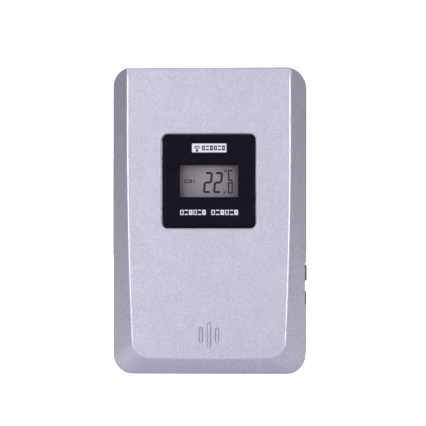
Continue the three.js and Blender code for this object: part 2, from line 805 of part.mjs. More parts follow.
// A coil of wire along Z whose radius goes evenly from startRadius to endRadius.
class Coil extends THREE.Curve {
  constructor(startRadius, endRadius, turns, length) {
    super();
    this.startRadius = startRadius;
    this.endRadius = endRadius;
    this.turns = turns;
    this.length = length;
  }

  getPoint(t, target = new THREE.Vector3()) {
    const angle = 2 * Math.PI * this.turns * t;
    const radius = this.startRadius + (this.endRadius - this.startRadius) * t;
    return target.set(radius * Math.cos(angle), radius * Math.sin(angle), this.length * t);
  }
}

function wireAlong(path, radius, steps, sides) {
  const section = new THREE.Shape();
  for (let side = 0; side < sides; side++) {
    const angle = (side / sides) * 2 * Math.PI;
    const place = [radius * Math.cos(angle), radius * Math.sin(angle)];
    if (side === 0) section.moveTo(...place);
    else section.lineTo(...place);
  }
  section.closePath();
  return new THREE.ExtrudeGeometry(section, { steps, bevelEnabled: false, extrudePath: path });
}

function antennaCoil() {
  const path = new Coil(coilRadius, coilRadius, coilTurns, coilLength);
  return wireAlong(path, coilWire, coilStepsPerTurn * coilTurns, wireSides);
}

// The bead hangs below the board on its two leads, which reach up to joints on the board.
function thermistor() {
  const bead = new THREE.SphereGeometry(beadRadius, 10, 8);
  const leadLength = boardBottom + thermistorLap - ventCentreZ;
  const leads = [-1, 1].map((side) => {
    const lead = new THREE.CylinderGeometry(thermistorLead, thermistorLead, leadLength, leadSides);
    lead.rotateX(Math.PI / 2);
    lead.translate(side * beadRadius / 2, 0, leadLength / 2);
    return solidFrom(lead);
  });
  return joined([solidFrom(bead), ...leads]);
}

// ---- buttons and switches --------------------------------------------------------------------------
// The cap passes through the side wall and a flange behind the wall keeps it in.
function sideButton({ length, stand }) {
  const cap = plateAlongX(buttonDepth, length, buttonRadius, flangeInnerX, sideX + stand, 0, 0);
  const flangeDepth = buttonDepth + 2 * (fit + flangeOverhang);
  const flangeLength = length + 2 * (fit + flangeOverhang);
  const flange = plateAlongX(flangeDepth, flangeLength, buttonRadius, flangeInnerX, flangeOuterX, 0, 0);
  const pusher = rodAlongX(pusherRadius, pusherEndX, flangeInnerX + merge, 0, 0);
  return joined([cap, flange, pusher]);
}

function tactSwitch() {
  const body = block([switchFaceX - switchBody, -switchHeight / 2, -switchSize / 2],
    [switchFaceX, switchHeight / 2, switchSize / 2]);
  const bore = rodAlongX(plungerRadius + snug, plungerTipX - plungerLength - buttonTravel - snug,
    switchFaceX + past, 0, 0);
  return body.subtract(bore);
}

function plunger() {
  return rodAlongX(plungerRadius, plungerTipX - plungerLength, plungerTipX, 0, 0);
}

// ---- cells and contacts ----------------------------------------------------------------------------
// The cell lies along X with its positive nub towards -X and the nub's tip at the origin.
function cell() {
  const radius = cellDiameter / 2;
  const profile = [
    new THREE.Vector2(0, 0),
    new THREE.Vector2(radius - cellEdge, 0),
    new THREE.Vector2(radius, cellEdge),
    new THREE.Vector2(radius, cellLength - nubLength - cellEdge),
    new THREE.Vector2(radius - cellEdge, cellLength - nubLength),
    new THREE.Vector2(nubRadius, cellLength - nubLength),
    new THREE.Vector2(nubRadius, cellLength),
    new THREE.Vector2(0, cellLength),
  ];
  const geometry = new THREE.LatheGeometry(profile, 20);
  geometry.rotateZ(Math.PI / 2);
  geometry.translate(cellLength, 0, 0);
  return geometry;
}

// Plate, dimple and spring stand on the tray's left end wall, drawn about the cell's axis.
function contactPlate(height) {
  return block([0, -contactHeight / 2, -height / 2], [contactThickness, contactHeight / 2, height / 2]);
}

function dimple() {
  return rodAlongX(dimpleRadius, contactThickness / 2, contactThickness + dimpleHeight, 0, 0);
}

function contactSpring() {
  const windLength = springLength - springWire;
  const path = new Coil(springFootRadius, springTipRadius, springTurns, windLength);
  const spring = wireAlong(path, springWire, springStepsPerTurn * springTurns, wireSides);
  spring.rotateY(Math.PI / 2);
  spring.translate(contactThickness, 0, 0);
  return solidFrom(spring);
}

function solderTab() {
  const tabEnd = trayFloorY - trayWall - tabLength - cellY;
  return block([0, tabEnd, -tabWidth / 2], [contactThickness, 0, tabWidth / 2]);
}

function positiveContact() {
  return joined([contactPlate(contactHeight), dimple(), solderTab()]);
}

function negativeContact() {
  return joined([contactPlate(contactHeight), contactSpring(), solderTab()]);
}

// One plate joins the two cells at the far end, with a spring for one and a dimple for the other.
function seriesContact() {
  const plate = contactPlate(contactHeight + 2 * cellOffsetZ);
  const placed = (solid, side) => solid.translate([0, 0, side * cellOffsetZ]);
  return joined([plate, placed(contactSpring(), -1), placed(dimple(), 1)]);
}

// ---- leads -------------------------------------------------------------------------------------------
// Each lead runs from a contact's tab up behind the board to its pad.
function lead(startZ, endX, endZ) {
  const tabEndY = trayFloorY - trayWall - tabLength;
  const startX = -trayEndX + snug + contactThickness + fit + leadRadius;
  const startY = tabEndY + leadRadius;
  const endY = onBoardY + leadRadius;
  const path = new THREE.CatmullRomCurve3([
    new THREE.Vector3(startX, startY, startZ),
    new THREE.Vector3(startX + leadStart.shift, startY, startZ + leadStart.rise),
    new THREE.Vector3(endX - leadEnd.shift, endY, endZ - leadEnd.drop),
    new THREE.Vector3(endX, endY, endZ),
  ]);
  return wireAlong(path, leadRadius, leadSteps, leadSides);
}

// ---- screws ------------------------------------------------------------------------------------------
// The shank points towards the front and the origin is under the head.
function screw(shankRadius, headRadius, headHeight, length) {
  const profile = [
    new THREE.Vector2(0, -length),
    new THREE.Vector2(shankRadius, -length + shankRadius),
    new THREE.Vector2(shankRadius, 0),
    new THREE.Vector2(headRadius, 0),
    new THREE.Vector2(headRadius * screwHeadTaper, headHeight),
    new THREE.Vector2(0, headHeight),
  ];
  return new THREE.LatheGeometry(profile, screwSides);
}

// ---- assembly ----------------------------------------------------------------------------------------
const sensor = new THREE.Group();

function addPiece(parent, name, shape, look, position = [0, 0, 0]) {
  const geometry = shape.isBufferGeometry ? shape : geometryFrom(shape);
  const mesh = new THREE.Mesh(geometry, look);
  mesh.name = name;
  mesh.position.set(...position);
  parent.add(mesh);
  return mesh;
}

function addHousing() {
  addPiece(sensor, 'front_cover', frontCover(), silverPlastic);
  addPiece(sensor, 'rear_cover', rearCover(), silverPlastic);
  addPiece(sensor, 'battery_door', batteryDoor(), silverPlastic);
  addPiece(sensor, 'stand_foot', standFoot(), silverPlastic);
}

function addDisplay() {
  const display = new THREE.Group();
  display.position.set(0, 0, windowZ);
  sensor.add(display);
  addPiece(display, 'window_lens', windowLens(), lensBlack, [0, lensFrontY, 0]);
  addPiece(display, 'lens_tape', lensTape(), tapeWhite, [0, tapeFrontY, 0]);
  addPiece(display, 'display_frame', displayFrame(), framePlastic, [0, displayFrameFrontY, 0]);
  addPiece(display, 'display_panel', displayPanel(), displayGrey, [0, displayFrontY, 0]);
  const stripZ = displayRearHeight / 2 + snug + stripWidth / 2;
  addPiece(display, 'rubber_strip_upper', rubberStrip(), rubberGrey, [0, stripFrontY, stripZ]);
  addPiece(display, 'rubber_strip_lower', rubberStrip(), rubberGrey, [0, stripFrontY, -stripZ]);
}

function addBoards() {
  addPiece(sensor, 'main_board', mainBoard(), boardGreen, [0, boardFrontY, (boardTop + boardBottom) / 2]);
  const blob = addPiece(sensor, 'chip_blob', chipBlob(), resinBlack, [0, boardFrontY - snug, windowZ]);
  blob.rotation.x = Math.PI;
  const crystal = new THREE.CylinderGeometry(crystalRadius, crystalRadius, crystalLength, crystalSides);
  const crystalPlace = [crystalX, onBoardY + crystalRadius, boardTop - crystalDrop];
  addPiece(sensor, 'clock_crystal', crystal, nickel, crystalPlace).rotation.x = Math.PI / 2;
  const capacitor = new THREE.CylinderGeometry(capacitorRadius, capacitorRadius, capacitorLength, rodSides);
  const capacitorPlace = [capacitorX, onBoardY + capacitorRadius, boardBottom + capacitorRise];
  addPiece(sensor, 'smoothing_capacitor', capacitor, bodyBlack, capacitorPlace).rotation.x = Math.PI / 2;
  addPiece(sensor, 'thermistor', thermistor(), resinBlack, [0, onBoardY + thermistorLead, ventCentreZ]);
}

function addRadio() {
  const radio = new THREE.Group();
  radio.position.set(radioX, 0, radioBottom);
  sensor.add(radio);
  const board = plateAlongY(radioWidth, radioHeight, radioCorner, 0, radioThickness, 0);
  addPiece(radio, 'radio_header', radioHeader(), bodyBlack, [0, onBoardY, headerRise]);
  addPiece(radio, 'radio_board', board, boardGreen, [0, radioFrontY, radioHeight / 2]);
  addPiece(radio, 'resonator_can', resonatorCan(), steel, [0, radioBackY + snug, radioHeight / 2 + resonatorRise]);
  const coilY = onBoardY + coilRadius + coilWire + snug;
  addPiece(radio, 'antenna_coil', antennaCoil(), copper, [coilX, coilY, radioHeight + fit + coilWire]);
}

function addButtons() {
  for (const button of buttons) {
    const place = [0, buttonY, button.z];
    addPiece(sensor, `${button.name}_button`, sideButton(button), buttonGrey, place);
    addPiece(sensor, `${button.name}_switch`, tactSwitch(), bodyBlack, place);
    addPiece(sensor, `${button.name}_plunger`, plunger(), framePlastic, place);
  }
}

function addPower() {
  const power = new THREE.Group();
  power.position.set(0, cellY, trayZ);
  sensor.add(power);
  const contactX = -trayEndX + snug;
  const nubX = contactX + contactThickness + dimpleHeight + snug;
  addPiece(power, 'battery_upper', cell(), cellJacket, [nubX, 0, cellOffsetZ]);
  addPiece(power, 'battery_lower', cell(), cellJacket, [-nubX, 0, -cellOffsetZ]).rotation.z = Math.PI;
  addPiece(power, 'positive_contact', positiveContact(), nickel, [contactX, 0, cellOffsetZ]);
  addPiece(power, 'negative_contact', negativeContact(), nickel, [contactX, 0, -cellOffsetZ]);
  addPiece(power, 'series_contact', seriesContact(), nickel, [-contactX, 0, 0]).rotation.y = Math.PI;
  const padZ = trayTop + padRise;
  addPiece(sensor, 'red_lead', lead(trayZ + cellOffsetZ, leadPads.red, padZ), redVinyl);
  addPiece(sensor, 'black_lead', lead(trayZ - cellOffsetZ, leadPads.black, padZ), blackVinyl);
}

function addScrews() {
  caseScrewPlaces().forEach(({ x, z }, index) => {
    const shape = screw(caseScrewRadius, caseScrewHeadRadius, caseScrewHead, caseScrewLength);
    addPiece(sensor, `case_screw_${index + 1}`, shape, steel, [x, screwSeatY + snug, z]);
  });
  boardPostPlaces().forEach(({ x, z }, index) => {
    const shape = screw(boardScrewRadius, boardScrewHeadRadius, boardScrewHead, boardScrewLength);
    addPiece(sensor, `board_screw_${index + 1}`, shape, steel, [x, onBoardY, z]);
  });
}

addHousing();
addDisplay();
addBoards();
addRadio();
addButtons();
addPower();
addScrews();

export default sensor;
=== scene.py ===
import math

import bmesh
import bpy
from mathutils import Matrix, Vector


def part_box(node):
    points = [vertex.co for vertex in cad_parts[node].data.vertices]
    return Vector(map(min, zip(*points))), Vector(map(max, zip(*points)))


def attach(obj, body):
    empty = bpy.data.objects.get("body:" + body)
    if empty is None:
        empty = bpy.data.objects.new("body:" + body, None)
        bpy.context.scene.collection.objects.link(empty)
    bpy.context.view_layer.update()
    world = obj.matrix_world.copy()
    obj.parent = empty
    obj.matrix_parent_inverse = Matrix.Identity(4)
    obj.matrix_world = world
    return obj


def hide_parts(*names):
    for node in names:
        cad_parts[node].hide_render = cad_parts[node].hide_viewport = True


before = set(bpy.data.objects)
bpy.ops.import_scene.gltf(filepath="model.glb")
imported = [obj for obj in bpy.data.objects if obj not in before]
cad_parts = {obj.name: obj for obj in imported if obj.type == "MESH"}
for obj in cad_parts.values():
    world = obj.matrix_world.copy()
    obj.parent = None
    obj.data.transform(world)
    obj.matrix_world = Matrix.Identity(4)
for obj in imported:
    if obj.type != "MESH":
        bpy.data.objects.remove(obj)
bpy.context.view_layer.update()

millimetre = 0.001  # sizes below are in millimetres
past = 3  # how far a cutter runs past what it cuts
low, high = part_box("front_cover")
frontY, bodyTop, sideX = low.y / millimetre, high.z / millimetre, high.x / millimetre
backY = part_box("rear_cover")[1].y / millimetre
partingY = high.y / millimetre


# helpers for selecting, shaping and joining
def inMetres(values):
    return Vector([value * millimetre for value in values])


def middleOf(node):
    lowest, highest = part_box(node)
    return (lowest + highest) / 2 / millimetre


def deselectAll():
    bpy.ops.object.select_all(action="DESELECT")


def selectOnly(obj):
    deselectAll()
    obj.select_set(True)
    bpy.context.view_layer.objects.active = obj


def keepPlace(name):
    # the primitive just added gets its name, and its size and place go into its mesh
    obj = bpy.context.active_object
    obj.name = name
    bpy.ops.object.transform_apply(location=True, rotation=True, scale=True)
    return obj


def startEdit(obj, kind="VERT"):
    selectOnly(obj)
    bpy.ops.object.mode_set(mode="EDIT")
    bpy.ops.mesh.select_mode(type=kind)
    bpy.ops.mesh.select_all(action="DESELECT")


def endEdit():
    bpy.ops.object.mode_set(mode="OBJECT")


def pick(obj, test, kind="VERT"):
    # in edit mode, selects what passes the test, given its place in millimetres and its normal
    bpy.ops.mesh.select_mode(type=kind)
    bpy.ops.mesh.select_all(action="DESELECT")
    mesh = bmesh.from_edit_mesh(obj.data)
    if kind == "VERT":
        chosen = [v for v in mesh.verts if test(v.co / millimetre)]
    elif kind == "EDGE":
        chosen = [e for e in mesh.edges if all(test(v.co / millimetre) for v in e.verts)]
    else:
        chosen = [f for f in mesh.faces if test(f.calc_center_median() / millimetre, f.normal)]
    for item in chosen:
        item.select = True
    mesh.select_flush_mode()
    bmesh.update_edit_mesh(obj.data)
    return len(chosen)


def moveBy(x=0.0, y=0.0, z=0.0):
    bpy.ops.transform.translate(value=inMetres((x, y, z)))


def scaleBy(factors, centre=(0, 0, 0)):
    bpy.ops.transform.resize(value=factors, center_override=inMetres(centre))


def extrudeBy(x=0.0, y=0.0, z=0.0):
    bpy.ops.mesh.extrude_region_move(TRANSFORM_OT_translate={"value": inMetres((x, y, z))})


def faceOutwards(obj):
    startEdit(obj)
    bpy.ops.mesh.select_all(action="SELECT")
    bpy.ops.mesh.remove_doubles(threshold=1e-7)
    bpy.ops.mesh.normals_make_consistent(inside=False)
    if bmesh.from_edit_mesh(obj.data).calc_volume(signed=True) < 0:
        bpy.ops.mesh.flip_normals()
    endEdit()


axisFrames = {  # where each loft's own X, Y and run go
    "X": Matrix(((0, 0, 1, 0), (1, 0, 0, 0), (0, 1, 0, 0), (0, 0, 0, 1))),
    "Y": Matrix(((1, 0, 0, 0), (0, 0, 1, 0), (0, 1, 0, 0), (0, 0, 0, 1))),
    "Z": Matrix.Identity(4),
}


def makeBox(lowest, highest, name="box"):
    deselectAll()
    lowest, highest = inMetres(lowest), inMetres(highest)
    bpy.ops.mesh.primitive_cube_add(size=1, location=(lowest + highest) / 2)
    bpy.context.active_object.scale = highest - lowest
    return keepPlace(name)


def runLevels(obj, size, levels, axis, centre):
    # from the outline at the first level, extrudes to each next one, wider or narrower by its offset
    startEdit(obj, "FACE")
    bpy.ops.mesh.select_all(action="SELECT")
    for (along, offset), (nextAlong, nextOffset) in zip(levels, levels[1:]):
        extrudeBy(z=nextAlong - along)
        if nextOffset != offset:
            scaleBy([(side + 2 * nextOffset) / (side + 2 * offset) for side in size] + [1])
    endEdit()
    across = list(centre)
    across.insert("XYZ".index(axis), 0)
    obj.data.transform(Matrix.Translation(inMetres(across)) @ axisFrames[axis])
    faceOutwards(obj)
    return obj


def makePlate(axis, size, radius, levels, centre, steps=8, name="plate"):
    # a rounded rectangle run along an axis; levels are (place along the axis, outward offset)
    deselectAll()
    start, offset = levels[0]
    bpy.ops.mesh.primitive_plane_add(size=1, location=inMetres((0, 0, start)))
    bpy.context.active_object.scale = inMetres((size[0] + 2 * offset, size[1] + 2 * offset, 1000))
    obj = keepPlace(name)
    startEdit(obj)
    bpy.ops.mesh.select_all(action="SELECT")
    bpy.ops.mesh.bevel(offset=(radius + offset) * millimetre, segments=steps, affect="VERTICES")
    endEdit()
    return runLevels(obj, size, levels, axis, centre)


def makeRod(axis, radius, levels, centre, sides=48, name="rod"):
    deselectAll()
    start, offset = levels[0]
    bpy.ops.mesh.primitive_circle_add(vertices=sides, radius=(radius + offset) * millimetre, fill_type="NGON",
                                      location=inMetres((0, 0, start)))
    return runLevels(keepPlace(name), (2 * radius, 2 * radius), levels, axis, centre)


def lipLevels(surface, end, lip, outwards, steps=4):
    # levels of a cutter that leaves a rounded lip where it enters the surface
    inwards = -outwards
    levels = [(surface + outwards, lip), (surface + outwards * 0.03, lip)]
    for step in range(1, steps + 1):
        angle = step / steps * math.pi / 2
        levels.append((surface + inwards * lip * (1 - math.cos(angle)), lip * (1 - math.sin(angle))))
    return levels + [(end, 0)]


def combine(obj, others, operation="DIFFERENCE"):
    for other in others:
        selectOnly(obj)
        modifier = obj.modifiers.new("combine", "BOOLEAN")
        modifier.operation = operation
        modifier.solver = "MANIFOLD"
        modifier.object = other
        bpy.ops.object.modifier_apply(modifier=modifier.name)
        bpy.data.objects.remove(other)
    return obj


def roundEdges(obj, width, angle=40, steps=2):
    selectOnly(obj)
    modifier = obj.modifiers.new("edges", "BEVEL")
    modifier.width = width * millimetre
    modifier.segments = steps
    modifier.limit_method = "ANGLE"
    modifier.angle_limit = math.radians(angle)
    modifier.use_clamp_overlap = True
    bpy.ops.object.modifier_apply(modifier=modifier.name)
    return obj


def smoothByAngle(obj, angle=32):
    selectOnly(obj)
    bpy.ops.object.shade_smooth_by_angle(angle=math.radians(angle))


def evenShading(obj, angle=32):
    # smooth shading in which the large flat faces stay flat
    smoothByAngle(obj, angle)
    modifier = obj.modifiers.new("shading", "WEIGHTED_NORMAL")
    modifier.keep_sharp = True
    modifier.weight = 100
    bpy.ops.object.modifier_apply(modifier=modifier.name)


def twinOf(obj):
    twin = obj.copy()
    twin.data = obj.data.copy()
    bpy.context.collection.objects.link(twin)
    return twin


def place(obj, body, material, nodes=()):
    obj.data.materials.clear()
    obj.data.materials.append(material)
    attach(obj, body)
    if nodes:
        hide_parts(*nodes)
    return obj


def joinAll(pieces, name):
    selectOnly(pieces[0])
    for piece in pieces[1:]:
        piece.select_set(True)
    bpy.ops.object.join()
    pieces[0].name = name
    return pieces[0]


# materials
def newMaterial(name, roughness=0.5, metallic=0.0, color=(0.5, 0.5, 0.5)):
    material = bpy.data.materials.new(name)
    material.use_nodes = True
    shader = material.node_tree.nodes["Principled BSDF"]
    shader.inputs["Base Color"].default_value = (*color, 1)
    shader.inputs["Roughness"].default_value = roughness
    shader.inputs["Metallic"].default_value = metallic
    return material, shader


def addNode(material, kind, **settings):
    node = material.node_tree.nodes.new(kind)
    for key, value in settings.items():
        if key in node.inputs:
            node.inputs[key].default_value = value
        else:
            setattr(node, key, value)
    return node


def connect(material, source, output, target, socket):
    material.node_tree.links.new(source.outputs[output], target.inputs[socket])


def objectPoint(material, centre=(0, 0, 0), scale=(1, 1, 1)):
    # Object coordinates moved to a centre, in millimetres, then scaled
    point = addNode(material, "ShaderNodeTexCoord")
    mapping = addNode(material, "ShaderNodeMapping")
    mapping.inputs["Location"].default_value = [-c * millimetre * s for c, s in zip(centre, scale)]
    mapping.inputs["Scale"].default_value = scale
    connect(material, point, "Object", mapping, "Vector")
    return mapping


def addRamp(material, source, output, stops, interpolation="LINEAR"):
    ramp = addNode(material, "ShaderNodeValToRGB")
    ramp.color_ramp.interpolation = interpolation
    while len(ramp.color_ramp.elements) < len(stops):
        ramp.color_ramp.elements.new(0.5)
    for element, (position, color) in zip(ramp.color_ramp.elements, stops):
        element.position = position
        element.color = (*color, 1) if len(color) == 3 else color
    connect(material, source, output, ramp, "Fac")
    return ramp


def addBump(material, shader, source, output, distance, strength=1.0):
    bump = addNode(material, "ShaderNodeBump")
    bump.inputs["Distance"].default_value = distance * millimetre
    bump.inputs["Strength"].default_value = strength
    connect(material, source, output, bump, "Height")
    connect(material, bump, "Normal", shader, "Normal")


def speckled(name, dark, light, roughness, metallic=0.0, grain=2500, bump=0.004, scatter=0.06, gleam=0.5):
    # a moulded or painted surface with fine grain: two near colours, uneven gloss and a faint texture
    material, shader = newMaterial(name, roughness, metallic)
    point = objectPoint(material)
    noise = addNode(material, "ShaderNodeTexNoise", Scale=grain, Detail=3.0, Roughness=0.6)
    connect(material, point, "Vector", noise, "Vector")
    ramp = addRamp(material, noise, "Fac", [(0.3, dark), (0.7, light)])
    connect(material, ramp, "Color", shader, "Base Color")
    spread = addNode(material, "ShaderNodeMapRange")
    spread.inputs["From Min"].default_value = 0.3
    spread.inputs["From Max"].default_value = 0.7
    spread.inputs["To Min"].default_value = roughness - scatter
    spread.inputs["To Max"].default_value = roughness + scatter
    connect(material, noise, "Fac", spread, "Value")
    connect(material, spread, "Result", shader, "Roughness")
    if bump > 0:
        addBump(material, shader, noise, "Fac", bump)
    shader.inputs["Specular IOR Level"].default_value = gleam
    return material


silverPaint = {
    "dark": (0.47, 0.455, 0.565),
    "light": (0.65, 0.635, 0.775),
    "flake": 4600,  # flakes per metre
    "metallic": 0.75,
    "roughness": 0.385,
    "coat": 0.45,
}


def makeSilverPaint(look):
    # lavender silver paint whose flakes catch the light one by one
    material, shader = newMaterial("silver_flake_paint", look["roughness"], look["metallic"])
    point = objectPoint(material)
    flakes = addNode(material, "ShaderNodeTexVoronoi", Scale=look["flake"])
    connect(material, point, "Vector", flakes, "Vector")
    parts = addNode(material, "ShaderNodeSeparateColor")
    connect(material, flakes, "Color", parts, "Color")
    ramp = addRamp(material, parts, "Red", [(0.0, look["dark"]), (1.0, look["light"])])
    cloud = addNode(material, "ShaderNodeTexNoise", Scale=180.0, Detail=2.0)
    connect(material, point, "Vector", cloud, "Vector")
    tone = addRamp(material, cloud, "Fac", [(0.35, (0.97, 0.97, 0.97)), (0.65, (1.0, 1.0, 1.0))])
    mix = addNode(material, "ShaderNodeMix", data_type="RGBA", blend_type="MULTIPLY")
    mix.inputs["Factor"].default_value = 1.0
    material.node_tree.links.new(ramp.outputs["Color"], mix.inputs[6])
    material.node_tree.links.new(tone.outputs["Color"], mix.inputs[7])
    material.node_tree.links.new(mix.outputs[2], shader.inputs["Base Color"])
    gloss = addNode(material, "ShaderNodeMapRange")
    gloss.inputs["To Min"].default_value = look["roughness"] - 0.05
    gloss.inputs["To Max"].default_value = look["roughness"] + 0.05
    connect(material, parts, "Green", gloss, "Value")
    connect(material, gloss, "Result", shader, "Roughness")
    peel = addNode(material, "ShaderNodeTexNoise", Scale=1600.0, Detail=2.0)
    connect(material, point, "Vector", peel, "Vector")
    addBump(material, shader, peel, "Fac", 0.006)
    shader.inputs["Coat Weight"].default_value = look["coat"]
    shader.inputs["Coat Roughness"].default_value = 0.16
    return material


def makeAcrylic():
    # clear acrylic that lets lamps through to what is behind it
    material, shader = newMaterial("clear_acrylic", 0.0, 0.0, (0.97, 0.97, 0.98))
    shader.inputs["Transmission Weight"].default_value = 1.0
    shader.inputs["IOR"].default_value = 1.38
    tree = material.node_tree
    clear = addNode(material, "ShaderNodeBsdfTransparent")
    path = addNode(material, "ShaderNodeLightPath")
    mix = addNode(material, "ShaderNodeMixShader")
    tree.links.new(path.outputs["Is Shadow Ray"], mix.inputs["Fac"])
    tree.links.new(shader.outputs["BSDF"], mix.inputs[1])
    tree.links.new(clear.outputs["BSDF"], mix.inputs[2])
    tree.links.new(mix.outputs["Shader"], tree.nodes["Material Output"].inputs["Surface"])
    return material


# painted shade: the display's grey is darker at its edges and lighter in the middle, as where the window's edges
# shade it
displayPaintedShade = {
    # edge is the painted shade at the display's edges, middle the lighter painted middle, half the size of the
    # gradient
    "edge": (0.085, 0.073, 0.086),
    "middle": (0.205, 0.18, 0.205),
    "half": (10.9, 9.3),
}


def makeDisplayWithPaintedShade(look):
    material, shader = newMaterial("display_polariser_painted_shade", 0.3)
    shader.inputs["Specular IOR Level"].default_value = 0.15
    middle = middleOf("display_panel")
    halfX, halfZ = look["half"]
    point = objectPoint(material, middle, (1 / halfX / millimetre, 1, 1 / halfZ / millimetre))
    # painted shade: a round gradient darkens the grey from the middle out to the edges
    glow = addNode(material, "ShaderNodeTexGradient", gradient_type="SPHERICAL")
    connect(material, point, "Vector", glow, "Vector")
    ramp = addRamp(material, glow, "Fac", [(0.0, look["edge"]), (0.75, look["middle"])])
    grain = addNode(material, "ShaderNodeTexNoise", Scale=6000.0, Detail=1.0)
    fine = objectPoint(material)
    connect(material, fine, "Vector", grain, "Vector")
    tone = addRamp(material, grain, "Fac", [(0.3, (0.94, 0.94, 0.94)), (0.7, (1.0, 1.0, 1.0))])
    mix = addNode(material, "ShaderNodeMix", data_type="RGBA", blend_type="MULTIPLY")
    mix.inputs["Factor"].default_value = 1.0
    material.node_tree.links.new(ramp.outputs["Color"], mix.inputs[6])
    material.node_tree.links.new(tone.outputs["Color"], mix.inputs[7])
    material.node_tree.links.new(mix.outputs[2], shader.inputs["Base Color"])
    return material


def makeBoardGreen():
    # green solder mask over copper runs, the runs faintly raised
    material, shader = newMaterial("green_solder_mask", 0.35)
    point = objectPoint(material, scale=(1, 1, 1))
    runs = addNode(material, "ShaderNodeTexBrick", Scale=260.0, offset=0.3, squash=1.0)
    runs.inputs["Color1"].default_value = (0.012, 0.16, 0.06, 1)
    runs.inputs["Color2"].default_value = (0.014, 0.18, 0.068, 1)
    runs.inputs["Mortar"].default_value = (0.045, 0.30, 0.12, 1)
    runs.inputs["Mortar Size"].default_value = 0.06
    turned = addNode(material, "ShaderNodeMapping")
    turned.inputs["Rotation"].default_value = (math.pi / 2, 0, 0)
    connect(material, point, "Vector", turned, "Vector")
    connect(material, turned, "Vector", runs, "Vector")
    connect(material, runs, "Color", shader, "Base Color")
    addBump(material, shader, runs, "Fac", 0.03)
    return material


def brushed(name, color, roughness, stretch=(60, 3000, 3000)):
    # plated or drawn metal with fine lines
    material, shader = newMaterial(name, roughness, 1.0, color)
    point = objectPoint(material, scale=stretch)
    lines = addNode(material, "ShaderNodeTexNoise", Scale=1.0, Detail=3.0)
    connect(material, point, "Vector", lines, "Vector")
    dark = [c * 0.82 for c in color]
    ramp = addRamp(material, lines, "Fac", [(0.3, dark), (0.7, color)])
    connect(material, ramp, "Color", shader, "Base Color")
    gloss = addNode(material, "ShaderNodeMapRange")
    gloss.inputs["To Min"].default_value = roughness - 0.1
    gloss.inputs["To Max"].default_value = roughness + 0.1
    connect(material, lines, "Fac", gloss, "Value")
    connect(material, gloss, "Result", shader, "Roughness")
    return material


def makeCellJacket(node, sign):
    # foil jacket with printed bands; sign is +1 where the positive end points to +X
    material, shader = newMaterial("cell_foil_" + node, 0.3, 0.6)
    lowest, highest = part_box(node)
    point = objectPoint(material, ((lowest + highest) / 2 / millimetre), (1 / (highest.x - lowest.x), 1, 1))
    parts = addNode(material, "ShaderNodeSeparateXYZ")
    connect(material, point, "Vector", parts, "Vector")
    along = addNode(material, "ShaderNodeMapRange")
    along.inputs["From Min"].default_value = -0.5 * sign
    along.inputs["From Max"].default_value = 0.5 * sign
    connect(material, parts, "X", along, "Value")
    steel, navy, pale = (0.62, 0.62, 0.6), (0.012, 0.045, 0.15), (0.55, 0.57, 0.6)
    ramp = addRamp(material, along, "Result", [
        (0.0, steel), (0.02, navy), (0.58, pale), (0.6, navy), (0.62, pale), (0.66, (0.5, 0.11, 0.02)),
        (0.955, steel)], "CONSTANT")
    connect(material, ramp, "Color", shader, "Base Color")
    scuffs = addNode(material, "ShaderNodeTexNoise", Scale=900.0, Detail=4.0)
    fine = objectPoint(material)
    connect(material, fine, "Vector", scuffs, "Vector")
    gloss = addNode(material, "ShaderNodeMapRange")
    gloss.inputs["To Min"].default_value = 0.22
    gloss.inputs["To Max"].default_value = 0.4
    connect(material, scuffs, "Fac", gloss, "Value")
    connect(material, gloss, "Result", shader, "Roughness")
    return material


paint = makeSilverPaint(silverPaint)
acrylic = makeAcrylic()
displayPaintedShadeGrey = makeDisplayWithPaintedShade(displayPaintedShade)
boardGreen = makeBoardGreen()
nickel = brushed("nickel_plate", (0.72, 0.70, 0.65), 0.28)
zinc = brushed("zinc_plate", (0.60, 0.61, 0.63), 0.34)
copper = brushed("copper_wire", (0.72, 0.36, 0.2), 0.3)
buttonGrey = speckled("grey_button_plastic", (0.10, 0.098, 0.108), (0.14, 0.137, 0.15), 0.5)
whitePlastic = speckled("white_moulding", (0.72, 0.72, 0.69), (0.8, 0.8, 0.77), 0.5)
tapeWhite = speckled("foam_tape", (0.6, 0.59, 0.55), (0.72, 0.71, 0.67), 0.85, grain=4000, bump=0.02)
rubberGrey = speckled("layered_silicone", (0.03, 0.03, 0.032), (0.06, 0.06, 0.064), 0.8, grain=5000)
blackPlastic = speckled("black_moulding", (0.012, 0.012, 0.014), (0.022, 0.022, 0.025), 0.45)
blackResin = speckled("cast_resin", (0.006, 0.006, 0.007), (0.012, 0.012, 0.014), 0.3, grain=800)
ink = {"roughness": 0.8, "grain": 6000, "bump": 0.0}
blackInk = speckled("black_back_print", (0.005, 0.0047, 0.0078), (0.0064, 0.0059, 0.0097), gleam=0.0, **ink)
whiteInk = speckled("white_back_print", (0.52, 0.51, 0.57), (0.58, 0.57, 0.63), gleam=0.0, **ink)
segmentInk = speckled("dark_segments", (0.018, 0.016, 0.021), (0.024, 0.021, 0.028), gleam=0.1, **ink)
redVinyl = speckled("red_insulation", (0.45, 0.02, 0.015), (0.55, 0.03, 0.02), 0.4)
blackVinyl = speckled("black_insulation", (0.01, 0.01, 0.01), (0.018, 0.018, 0.018), 0.4)
print("materials made")


